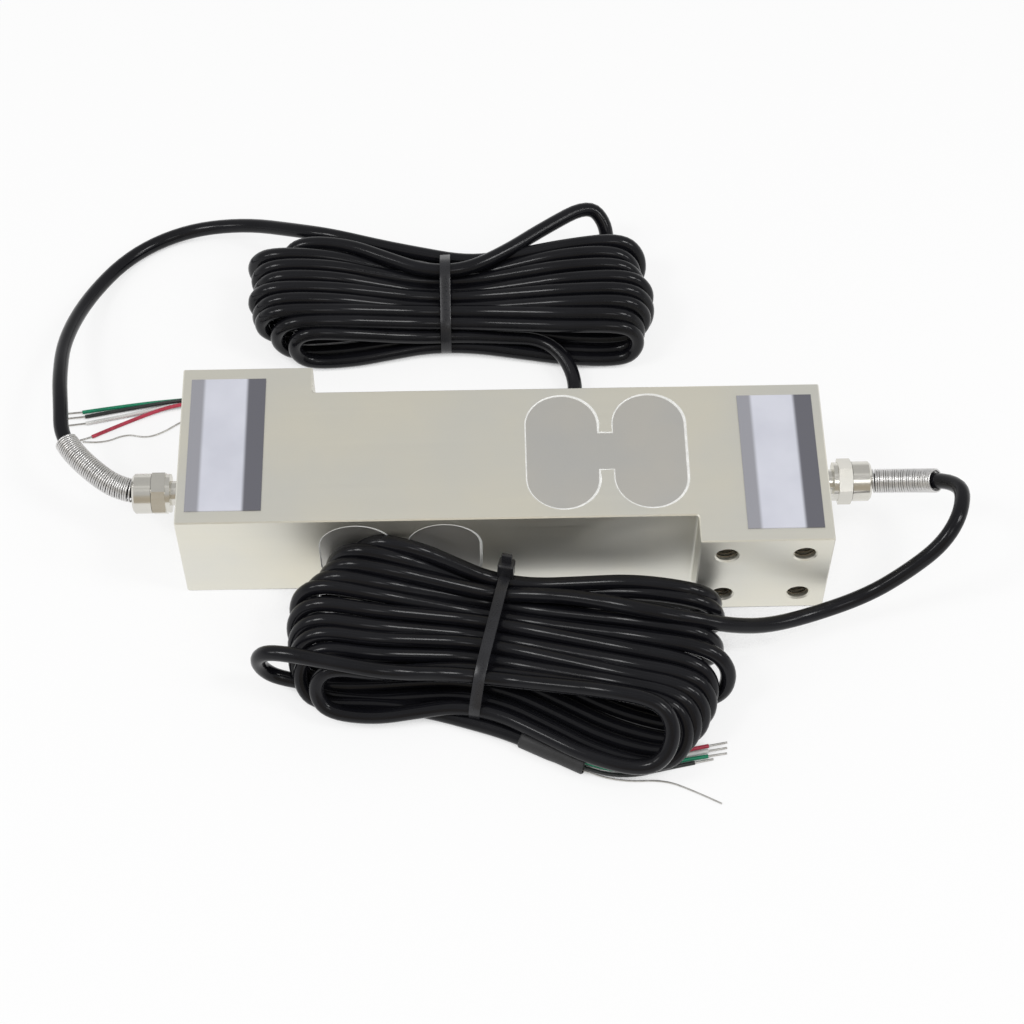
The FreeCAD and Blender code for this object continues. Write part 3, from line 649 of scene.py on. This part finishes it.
FRONT_LEAD = [
    (106.0, 0.0, 20.0), (130.1, 0.0, 20.0), (146.4, -9.8, 34.0), (144.2, -23.6, 37.0),
    (138.0, -32.2, 32.0), (128.6, -35.4, 22.0), (116.1, -38.5, 12.0), (98.0, -43.7, 9.0),
    (83.0, -49.5, 12.5), (71.0, -53.0, 19.0), (60.7, -53.6, 23.8), (47.7, -52.1, 26.3),
    (36.0, -48.6, 25.5), (23.6, -43.3, 21.5), (14.6, -40.1, 18.0), (4.9, -38.0, 15.5),
    (-3.0, -37.2, 14.3),
]
FRONT_TAIL = [
    (-40.0, -69.0, 2.6), (-24.2, -72.5, 2.6), (-11.1, -76.7, 2.8), (2.0, -81.6, 3.2), (13.2, -87.4, 3.2),
]
REAR_LEAD = [
    (-110.5, 0.0, 20.0), (-122.5, 0.0, 20.0), (-136.0, 9.5, 23.6), (-144.0, 20.0, 24.5),
    (-145.2, 33.0, 24.5), (-147.0, 46.0, 22.0), (-148.2, 66.9, 15.0), (-143.2, 92.1, 6.0),
    (-130.3, 113.5, 2.7), (-111.4, 124.6, 2.7), (-89.3, 122.9, 8.0), (-68.7, 111.8, 17.0),
    (-57.1, 106.9, 20.0), (-41.8, 103.7, 18.0), (-29.0, 101.0, 17.0),
]
REAR_TAIL = [
    (2.0, 70.6, 7.4), (15.0, 69.6, 7.6), (23.4, 61.6, 7.2), (26.8, 50.0, 3.6), (22.0, 36.5, 2.6),
    (0.0, 32.5, 2.6), (-30.0, 36.0, 2.7), (-58.0, 43.5, 3.2), (-82.0, 47.0, 3.2),
]


def front_route() -> list[Point]:
    """Route points of the front cable, from the right gland to its bare end."""
    return FRONT_LEAD + FRONT_HANK.points(STRAND_SHARES[4:]) + FRONT_TAIL


def rear_route() -> list[Point]:
    """Route points of the rear cable, from the left gland to its bare end."""
    hank = REAR_HANK
    last = REAR_LAST_FOLD
    points = REAR_LEAD + hank.points(STRAND_SHARES[3:])
    points += hank.strand(len(hank.far) - 1, False, hank.far[-1], last, last.place)
    points += hank.fold_points(last, -hank.way, last.place, False)
    points += [hank.spot(*place) for place in REAR_LAST_STRAND]
    return points + REAR_TAIL


@dataclass
class BendSpring:
    """The close-wound spring that keeps a cable from kinking at its gland."""

    side: Side
    route: list[Point]
    skip: float
    reach: float
    width: float = 7.9
    wire: float = 0.70
    pitch: float = 0.74
    open_turns: float = 2.5
    open_pitch: float = 1.25
    per_turn: int = 20

    def coil(self) -> list[Vector]:
        """Points of the wound wire, in order and in metres, round the line that the cable follows."""
        line = route_line(self.route)
        radius = (self.width - self.wire) / 2 * MM
        place, passed, index = 0.0, 0.0, 0
        side_way = UP
        points = []
        turns = 0.0
        while place < (self.skip + self.reach) * MM and index < len(line) - 2:
            while passed + (line[index + 1] - line[index]).length < place:
                passed += (line[index + 1] - line[index]).length
                index += 1
            run = line[index + 1] - line[index]
            along = run.normalized()
            side_way = (side_way - along * side_way.dot(along)).normalized()
            if place >= self.skip * MM:
                spot = line[index] + along * (place - passed)
                angle = math.tau * turns
                out = side_way * math.cos(angle) + along.cross(side_way) * math.sin(angle)
                points.append(spot + out * radius)
                turns += 1 / self.per_turn
            pitch = self.open_pitch if turns < self.open_turns else self.pitch
            place += pitch / self.per_turn * MM
        return points

    def build(self) -> types.Object:
        """Makes the spring as one wound wire in place of its plain solid."""
        name = f"{self.side.word}_spring_coil"
        curve = round_curve(name, self.wire, sides=2)
        add_spline(curve, "POLY", self.coil())
        piece = show(name, curve, SPRING.material())
        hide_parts(f"{self.side.word}_spring")
        return piece


@dataclass
class CableTie:
    """A nylon tie round a hank's waist: a strap that follows the strands and a head with its cut end."""

    name: str
    hank: Hank
    outline: list[tuple[float, float]]
    head: tuple[float, float]
    head_tilt: float
    strap_width: float = 3.6
    strap: float = 1.1
    bend: float = 2.2
    rim: float = 0.18
    rim_angle: float = 1.0

    def build(self) -> types.Object:
        """Makes the tie in place of its plain solid."""
        half = self.strap_width / 2
        bm = bmesh.new()
        ring = [bm.verts.new((-half, across, up)) for across, up in self.outline]
        edges = [bm.edges.new((a, b)) for a, b in zip(ring, ring[1:] + ring[:1])]
        band = bmesh.ops.extrude_edge_only(bm, edges=edges)
        moved = [item for item in band["geom"] if isinstance(item, bmesh.types.BMVert)]
        bmesh.ops.translate(bm, verts=moved, vec=(self.strap_width, 0.0, 0.0))
        bm.edges.ensure_lookup_table()
        folds = [edge for edge in bm.edges if abs(edge.verts[0].co.x - edge.verts[1].co.x) > half]
        soften(bm, folds, self.bend, segments=5, clamp=True)
        bmesh.ops.recalc_face_normals(bm, faces=bm.faces[:])
        bmesh.ops.solidify(bm, geom=bm.faces[:], thickness=-self.strap)
        rims = [edge for edge in bm.edges if edge.is_manifold and edge.calc_face_angle() > self.rim_angle]
        soften(bm, rims, self.rim, segments=2)
        self.add_head(bm)
        turn = Matrix.Rotation(math.radians(self.hank.heading), 4, "Z")
        place = Matrix.Translation((*self.hank.centre, 0.0))
        bmesh.ops.transform(bm, matrix=Matrix.Scale(MM, 4) @ place @ turn, verts=bm.verts[:])
        return show(self.name, to_mesh(self.name, bm), NYLON.material())

    def add_head(self, bm: bmesh.types.BMesh) -> None:
        """Adds the ratchet head and the cut end of the strap.

        Args:
            bm: The bmesh of the tie, in the hank's frame.
        """
        tilt = Matrix.Rotation(math.radians(self.head_tilt), 4, "X")
        place = Matrix.Translation((0.0, *self.head)) @ tilt
        for size, shift, softness in (
            ((5.2, 4.4, 6.4), (0.0, 0.0, 0.0), 0.7),
            ((3.4, 1.3, 4.2), (0.0, 0.2, 4.6), 0.25),
        ):
            made = bmesh.ops.create_cube(bm, size=1.0)["verts"]
            bmesh.ops.scale(bm, vec=size, verts=made)
            bmesh.ops.translate(bm, vec=shift, verts=made)
            edges = list({edge for vert in made for edge in vert.link_edges})
            faces = soften(bm, edges, softness, segments=3)
            verts = list({vert for face in faces for vert in face.verts})
            bmesh.ops.transform(bm, matrix=place, verts=verts)


CORE_LOOKS = {
    "red_core": (RED, Slot.RED),
    "green_core": (GREEN, Slot.GREEN),
    "black_core": (BLACK, Slot.BLACK),
    "white_core": (WHITE, Slot.WHITE),
    "drain_wire": (COPPER, Slot.COPPER),
}


@dataclass(frozen=True)
class Core:
    """One wire out of a bare cable end: where it lies in the sleeve, and its points on the floor."""

    word: str
    angle: float
    points: tuple[Point, ...]
    reach: float = 1.27
    width: float = 1.3


@dataclass
class BareEnd:
    """The far end of a cable: a shrink sleeve, four cores with tinned tips and a drain wire."""

    cable: str
    tail: list[Point]
    cores: list[Core]
    sleeve_length: float = 22.0
    grip: float = 10.0
    sleeve_width: float = 6.4
    clearance: float = 0.02
    facets: int = 40
    straight: float = 2.0

    def stop(self) -> Vector:
        """Where the jacket ends, in millimetres."""
        return Vector(self.tail[-1])

    def along(self) -> Vector:
        """The way that the jacket runs at its end."""
        return (self.stop() - Vector(self.tail[-2])).normalized()

    def sleeve(self) -> types.Object:
        """Makes the shrink sleeve, drawn in where it leaves the jacket."""
        outer = self.sleeve_width / 2
        inner = CABLE_WIDTH / 2 + self.clearance
        step = self.grip
        end = self.sleeve_length
        section = (
            (0.0, inner), (0.0, outer - 0.25), (0.35, outer), (step, outer), (step + 3.0, outer - 0.2),
            (end - 0.4, outer - 0.1), (end, outer - 0.4), (end, inner),
        )
        bm = bmesh.new()
        verts = [bm.verts.new((x, radius, 0.0)) for x, radius in section]
        edges = [bm.edges.new((a, b)) for a, b in zip(verts, verts[1:] + verts[:1])]
        bmesh.ops.spin(
            bm, geom=verts + edges, cent=(0.0, 0.0, 0.0), axis=(1.0, 0.0, 0.0), angle=math.tau,
            steps=self.facets, use_merge=True, use_duplicate=False,
        )
        bmesh.ops.remove_doubles(bm, verts=bm.verts[:], dist=MERGE)
        begin = Matrix.Translation(self.stop() - self.along() * self.grip)
        turn = Vector((1.0, 0.0, 0.0)).rotation_difference(self.along()).to_matrix().to_4x4()
        bmesh.ops.transform(bm, matrix=Matrix.Scale(MM, 4) @ begin @ turn, verts=bm.verts[:])
        name = f"{self.cable}_shrink_sleeve"
        piece = show(name, to_mesh(name, bm), SHRINK.material())
        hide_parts(f"{self.cable}_sleeve")
        return piece

    def core_route(self, core: Core) -> list[Point]:
        """Route points of one core in millimetres, from the jacket's end to its own end."""
        back = UP.cross(self.along())
        if back.y < 0:
            back = -back
        turn = math.radians(core.angle)
        offset = back * (core.reach * math.cos(turn)) + UP * (core.reach * math.sin(turn))
        start = self.stop() + offset
        leave = start + self.along() * (self.sleeve_length - self.grip + self.straight)
        return [tuple(start), tuple(leave), *core.points]

    def build(self) -> list[types.Object]:
        """Makes the sleeve, the cores and their tips.

        Returns:
            The pieces that go with the cable itself.
        """
        sleeve = self.sleeve()
        tips = f"{self.cable}_core_tips"
        dress(tips, COPPER.material())
        for core in self.cores:
            points = self.core_route(core)
            name = f"{self.cable}_{core.word}"
            curve = spline_curve(name + "_run", points, core.width, sides=3, steps=10)
            finish, slot = CORE_LOOKS[core.word]
            piece = show(name + "_run", curve, finish.material())
            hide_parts(name)
            line_length(route_line(points))
        return [sleeve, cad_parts[tips]]


FRONT_CORES = [
    Core("red_core", 0.0, ((38.0, -91.0, 0.7), (54.0, -87.2, 0.7), (62.7, -85.6, 0.7))),
    Core("white_core", -90.0, ((38.0, -92.6, 0.7), (54.0, -88.8, 0.7), (62.5, -87.4, 0.7))),
    Core("green_core", 90.0, ((38.0, -94.2, 0.7), (54.0, -90.4, 0.7), (62.3, -89.2, 0.7))),
    Core("black_core", 180.0, ((37.5, -95.9, 0.7), (50.0, -92.9, 0.7), (58.0, -91.4, 0.7))),
    Core(
        "drain_wire", 225.0,
        ((36.0, -97.4, 0.4), (48.0, -97.0, 0.4), (56.5, -100.6, 0.4), (65.5, -105.5, 0.4)),
        reach=2.0, width=0.6,
    ),
]
REAR_CORES = [
    Core("green_core", 0.0, ((-109.3, 51.2, 0.7), (-126.0, 49.4, 0.7), (-142.5, 46.7, 0.7))),
    Core("black_core", 90.0, ((-109.3, 50.4, 1.8), (-126.0, 48.0, 0.7), (-141.4, 44.8, 0.7))),
    Core("white_core", -90.0, ((-109.3, 49.9, 0.7), (-125.0, 45.4, 0.7), (-141.0, 42.0, 0.7))),
    Core("red_core", 180.0, ((-109.3, 49.1, 1.8), (-125.0, 43.4, 0.7), (-138.5, 36.4, 0.7))),
    Core(
        "drain_wire", 225.0,
        ((-103.0, 45.4, 0.4), (-109.0, 42.0, 0.4), (-115.0, 37.6, 0.4), (-120.5, 35.8, 0.4),
         (-127.0, 37.6, 0.4), (-134.5, 33.8, 0.4), (-141.5, 34.6, 0.4)),
        reach=2.0, width=0.6,
    ),
]
FRONT_TIE = CableTie(
    "front_tie", FRONT_HANK,
    [(-20.5, 1.2), (-24.0, 4.0), (-24.0, 8.8), (-21.6, 11.4), (-16.6, 16.6), (-12.4, 18.2), (15.2, 17.8),
     (20.8, 17.0), (23.6, 14.0), (24.2, 4.0), (21.5, 1.2)],
    head=(22.5, 19.2), head_tilt=-8.0,
)
REAR_TIE = CableTie(
    "rear_tie", REAR_HANK,
    [(-11.5, 1.2), (-16.0, 3.4), (-16.0, 8.8), (-12.8, 13.8), (-6.5, 16.8), (3.0, 22.4), (7.5, 22.6),
     (14.0, 18.2), (16.4, 14.0), (16.4, 4.0), (13.0, 1.2)],
    head=(18.4, 8.0), head_tilt=0.0,
)


@dataclass
class Cable:
    """One cable with its spring, tie and bare end."""

    name: str
    side: Side
    route: list[Point]
    spring: BendSpring
    tie: CableTie
    end: BareEnd

    def build(self) -> None:
        curve = spline_curve(f"{self.name}_cable", self.route, CABLE_WIDTH, sides=5, steps=6)
        piece = show(f"{self.name}_cable", curve, JACKET.material())
        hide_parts(f"{self.name}_cable_lead", f"{self.name}_hank", f"{self.name}_cable_tail")
        spring = self.spring.build()
        tie = self.tie.build()
        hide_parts(f"{self.name}_cable_tie")
        ends = self.end.build()
        length = line_length(route_line(self.route))
        LOG.info("%s cable is %.3f m long", self.name, length)


# The block
@dataclass
class CoverSeamHighlight:
    """A low pale bead over the gap round a cover, coloured as a painted highlight on the gap's edge and
    wider on the sides that face right, where that highlight falls.

    Middle is its share between narrow and wide, lean how much the painted highlight widens with the way that
    a side faces, and stray and ripple how much and how fast it wavers.
    """

    node: str
    outward: Vector
    narrow: float = 0.12
    wide: float = 0.62
    rise: float = 0.26
    gap: float = 0.15
    middle: float = 0.35
    lean: float = 0.55
    stray: float = 0.175
    ripple: float = 90.0
    facing: float = 0.9
    depth: float = 0.2

    def outline(self) -> list[Vector]:
        """Corner points of the cover's outer face, in order round it, in metres."""
        bm = bmesh.new()
        bm.from_mesh(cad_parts[self.node].data)
        bmesh.ops.remove_doubles(bm, verts=bm.verts[:], dist=MERGE * MM)
        bm.normal_update()
        level = max(vert.co.dot(self.outward) for vert in bm.verts) - self.depth * MM
        outer = {
            face for face in bm.faces
            if face.normal.dot(self.outward) > self.facing and face.verts[0].co.dot(self.outward) > level
        }
        following = {}
        for face in outer:
            for loop in face.loops:
                if loop.link_loop_radial_next.face not in outer:
                    following[loop.vert] = loop.link_loop_next.vert
        vert = next(iter(following))
        points = []
        while vert in following:
            points.append(vert.co.copy())
            vert = following.pop(vert)
        bm.free()
        return points

    def build(self) -> types.Object:
        """Makes the line as a low bead over the gap between cover and block, pale as a painted highlight."""
        points = self.outline()
        count = len(points)
        bm = bmesh.new()
        rings = []
        for index, point in enumerate(points):
            back = (point - points[index - 1]).normalized()
            ahead = (points[(index + 1) % count] - point).normalized()
            away = (back + ahead).cross(self.outward).normalized()
            # Painted highlight: the bead widens on the sides that face right, where the light catches the
            # edge.
            share = self.middle + self.lean * away.x + self.stray * noise.noise(point * self.ripple)
            width = self.narrow + (self.wide - self.narrow) * ease(share)
            section = ((-0.20, 0.0), (-0.05, 0.7), (self.gap + 0.5 * width, 1.0), (self.gap + width, 0.72))
            rings.append([
                bm.verts.new(point + away * (out * MM) + self.outward * (up * self.rise * MM))
                for out, up in section
            ])
        for ring, after in zip(rings, rings[1:] + rings[:1]):
            for corner in range(len(ring) - 1):
                bm.faces.new((ring[corner], ring[corner + 1], after[corner + 1], after[corner]))
        name = f"{self.node}_glue"
        return show(name, to_mesh(name, bm), GLUE_AND_HIGHLIGHT.material())


@dataclass
class BoltThreads:
    """The cut threads that show in the tapped holes of one bolting pad."""

    side: Side
    middle: float = 82.0
    pitch: float = 24.5
    rise: float = 23.0
    height: float = 20.0
    face: float = 35.0
    start: float = 1.0
    depth: float = 12.0
    bore: float = 6.8
    ridge: float = 0.6
    lead: float = 1.25
    per_turn: int = 24

    def build(self) -> types.Object:
        """Makes the four threads of the pad as ridges along the bores."""
        name = f"{self.side.word}_bolt_threads"
        curve = round_curve(name, self.ridge, sides=1, capped=False)
        count = int((self.depth - self.start) / self.lead * self.per_turn)
        for across in (-0.5, 0.5):
            for up in (-0.5, 0.5):
                points = []
                for step in range(count):
                    angle = math.tau * step / self.per_turn
                    inward = self.start + self.lead * step / self.per_turn
                    x = self.side.value * self.middle + across * self.pitch + self.bore / 2 * math.cos(angle)
                    y = -self.side.value * (self.face - inward)
                    z = self.height + up * self.rise + self.bore / 2 * math.sin(angle)
                    points.append((x * MM, y * MM, z * MM))
                add_spline(curve, "POLY", points)
        # The threads' dark tint is painted shade inside the bores.
        return show(name, curve, SHADED_THREAD.material())


@dataclass
class Block:
    """The plated block with its covers, labels and what sits inside it."""

    label_start: tuple[float, float] = (-100.0, 76.0)

    def build(self) -> None:
        """Dresses the block's nodes."""
        dress("sensor_block", BLOCK.material())
        for face, outward in (
            ("top", UP),
            ("bottom", -UP),
            ("front", Vector((0.0, -1.0, 0.0))),
            ("rear", Vector((0.0, 1.0, 0.0))),
        ):
            dress(f"{face}_cover_plate", COVER.material())
            # Each cover gets a pale bead that is a painted highlight round its gap.
            CoverSeamHighlight(f"{face}_cover_plate", outward).build()
        for level in ("upper", "lower", "back", "front"):
            for place in ("inner", "outer"):
                dress(f"{level}_{place}_gauge", FOIL.material())
        for side, start in zip(Side, self.label_start):
            BoltThreads(side).build()
            label = LabelFinish(
                f"{side.word}_label_film", (0.63, 0.64, 0.71), (0.57, 0.58, 0.65), rough=(0.28, 0.4),
                blotch=60.0, grain=2600.0, relief=0.05, start=start,
            )
            for part, finish in (
                ("terminal_board", BOARD),
                ("inner_cores", INNER),
                ("gland_body", GLAND),
                ("gland_nut", GLAND),
                ("gland_seal", RUBBER),
                ("plate", label),
            ):
                dress(f"{side.word}_{part}", finish.material())


# Studio and camera
@dataclass
class Studio:
    """Pale floor, soft lamps, bright surroundings and the camera of the photograph.

    The camera's place is in millimetres, and other lengths are in metres. Horizon and overhead are each
    a height and a grey, and front is a warm grey patch of the surroundings.
    """

    lens: float = 84.53
    sensor: float = 36.0
    place: Point = (-7.6, -434.2, 669.3)
    yaw: float = -1.417
    pitch: float = 56.811
    roll: float = 0.176
    view_reach: float = 20.0
    floor_size: float = 2.5
    floor_drop: float = 0.0002
    floor_grey: float = 0.90
    floor_rough: float = 0.9
    floor_glow: float = 0.8
    # Reach and range of the painted shade on the floor under things that cover it.
    shade_reach: float = 0.03
    shade_range: Range = (0.05, 0.35)
    fill: float = 0.60
    horizon: tuple[float, float] = (0.06, 0.96)
    overhead: tuple[float, float] = (0.32, 0.57)
    front_way: Point = (0.0, -0.96, 0.28)
    front_range: Range = (0.80, 0.96)
    front_tint: Colour = (0.50, 0.45, 0.37)

    def camera(self) -> None:
        """Sets the camera where the photograph was taken from."""
        yaw, pitch, roll = (math.radians(a) for a in (self.yaw, self.pitch, self.roll))
        right = Vector((math.cos(yaw), math.sin(yaw), 0.0))
        level = Vector((-math.sin(yaw), math.cos(yaw), 0.0))
        forward = level * math.cos(pitch) - UP * math.sin(pitch)
        up = right.cross(forward)
        across = right * math.cos(roll) + up * math.sin(roll)
        upright = up * math.cos(roll) - right * math.sin(roll)
        data = bpy.data.cameras.new("photo_camera")
        data.lens = self.lens
        data.sensor_fit = "HORIZONTAL"
        data.sensor_width = self.sensor
        data.clip_end = self.view_reach
        camera = bpy.data.objects.new("photo_camera", data)
        turn = Matrix((across, upright, -forward)).transposed().to_4x4()
        camera.matrix_world = Matrix.Translation(Vector(self.place) * MM) @ turn
        bpy.context.scene.collection.objects.link(camera)
        bpy.context.scene.camera = camera

    def seen(self, graph: Graph) -> Socket:
        """A mask of the rays that show the surroundings themselves.

        Args:
            graph: The nodes of the floor's material or the world.

        Returns:
            The mask, 1 for camera, glossy and transmission rays.
        """
        path = graph.add("LightPath").outputs
        mask = path["Is Camera Ray"]
        for ray in ("Is Glossy Ray", "Is Transmission Ray"):
            mask = graph.add("Math", {0: mask, 1: path[ray]}, operation="MAXIMUM").outputs["Value"]
        return mask

    def floor(self) -> None:
        """Makes the floor, which shows white and keeps a soft shadow, with painted shade where its glow is
        darkened under things that cover it.
        """
        bm = bmesh.new()
        bmesh.ops.create_grid(bm, x_segments=1, y_segments=1, size=self.floor_size)
        bmesh.ops.translate(bm, verts=bm.verts[:], vec=(0.0, 0.0, -self.floor_drop))
        mesh = bpy.data.meshes.new("floor")
        bm.to_mesh(mesh)
        bm.free()
        made = bpy.data.materials.new("pale_floor")
        made.use_nodes = True
        nodes = made.node_tree.nodes
        graph = Graph(made.node_tree)
        shader = nodes["Principled BSDF"]
        graph.feed(shader, {
            "Base Color": (self.floor_grey, self.floor_grey, self.floor_grey, 1.0),
            "Roughness": self.floor_rough,
            "Specular IOR Level": 0.0,
        })
        # Painted shade: ambient occlusion darkens the floor's white glow where things cover it.
        under = graph.add("AmbientOcclusion", {"Distance": self.shade_reach}, samples=8)
        bare = graph.stretch(under.outputs["AO"], *self.shade_range)
        camera_ray = graph.add("LightPath").outputs["Is Camera Ray"]
        glow = graph.add("Emission", {"Strength": graph.mix("FLOAT", camera_ray, 1.0, bare)})
        share = graph.add("Math", {0: self.seen(graph), 1: self.floor_glow}, operation="MULTIPLY")
        mix = graph.add("MixShader", {
            "Fac": share.outputs["Value"], 1: shader.outputs["BSDF"], 2: glow.outputs["Emission"],
        })
        graph.feed(nodes["Material Output"], {"Surface": mix.outputs["Shader"]})
        mesh.materials.append(made)
        floor = bpy.data.objects.new("floor", mesh)
        bpy.context.scene.collection.objects.link(floor)

    def world(self) -> None:
        """Sets the surroundings: white at the horizon, greyer overhead, warm grey in front, and a fill."""
        world = bpy.data.worlds.new("studio")
        bpy.context.scene.world = world
        world.use_nodes = True
        nodes = world.node_tree.nodes
        graph = Graph(world.node_tree)
        fill = nodes["Background"]
        graph.feed(fill, {"Color": (1.0, 1.0, 1.0, 1.0), "Strength": self.fill})
        way = graph.add("TexCoord").outputs["Generated"]
        height = graph.add("SeparateXYZ", {"Vector": way}).outputs["Z"]
        ramp = graph.add("ValToRGB", {"Fac": height})
        for element, (position, grey) in zip(ramp.color_ramp.elements, (self.horizon, self.overhead)):
            element.position = position
            element.color = (grey, grey, grey, 1.0)
        facing = graph.add("VectorMath", {0: way, 1: self.front_way}, operation="DOT_PRODUCT")
        front = graph.stretch(facing.outputs["Value"], *self.front_range)
        sky = graph.mix("RGBA", front, ramp.outputs["Color"], (*self.front_tint, 1.0))
        shown = graph.add("Background", {"Color": sky})
        mix = graph.add("MixShader", {
            "Fac": self.seen(graph), 1: fill.outputs["Background"], 2: shown.outputs["Background"],
        })
        graph.feed(nodes["World Output"], {"Surface": mix.outputs["Shader"]})

    def lamps(self) -> None:
        """Adds two soft lamps on each side, a long strip overhead and a weak one beside the camera."""
        for name, place, length, width, power in (
            ("left_side_lamp", (-0.88, -0.22, 0.74), 0.20, 0.20, 0.9),
            ("left_high_lamp", (-0.62, -0.22, 0.98), 0.26, 0.26, 2.6),
            ("right_side_lamp", (0.90, -0.22, 0.76), 0.20, 0.20, 0.9),
            ("right_high_lamp", (0.64, -0.18, 1.00), 0.26, 0.26, 2.6),
            ("strip_lamp", (0.0, 0.10, 1.00), 1.30, 0.14, 0.15),
            ("camera_lamp", (0.20, -0.56, 0.82), 0.22, 0.22, 0.4),
        ):
            data = bpy.data.lights.new(name, "AREA")
            data.shape = "RECTANGLE"
            data.size = length
            data.size_y = width
            data.energy = power
            lamp = bpy.data.objects.new(name, data)
            lamp.location = place
            lamp.rotation_euler = (-Vector(place)).to_track_quat("-Z", "Y").to_euler()
            bpy.context.scene.collection.objects.link(lamp)

    def build(self) -> None:
        """Sets up the whole studio."""
        bpy.context.scene.view_settings.view_transform = "Standard"
        self.camera()
        self.floor()
        self.world()
        self.lamps()


def main() -> None:
    """Builds the pieces in order."""
    logging.basicConfig(level=logging.INFO, format="%(name)s: %(message)s")
    Block().build()
    front = front_route()
    rear = rear_route()
    Cable(
        "front", Side.RIGHT, front, BendSpring(Side.RIGHT, front, skip=12.0, reach=24.0), FRONT_TIE,
        BareEnd("front", FRONT_TAIL, FRONT_CORES),
    ).build()
    Cable(
        "rear", Side.LEFT, rear, BendSpring(Side.LEFT, rear, skip=7.5, reach=31.0), REAR_TIE,
        BareEnd("rear", REAR_TAIL, REAR_CORES),
    ).build()
    Studio().build()


if __name__ == "__main__":
    main()
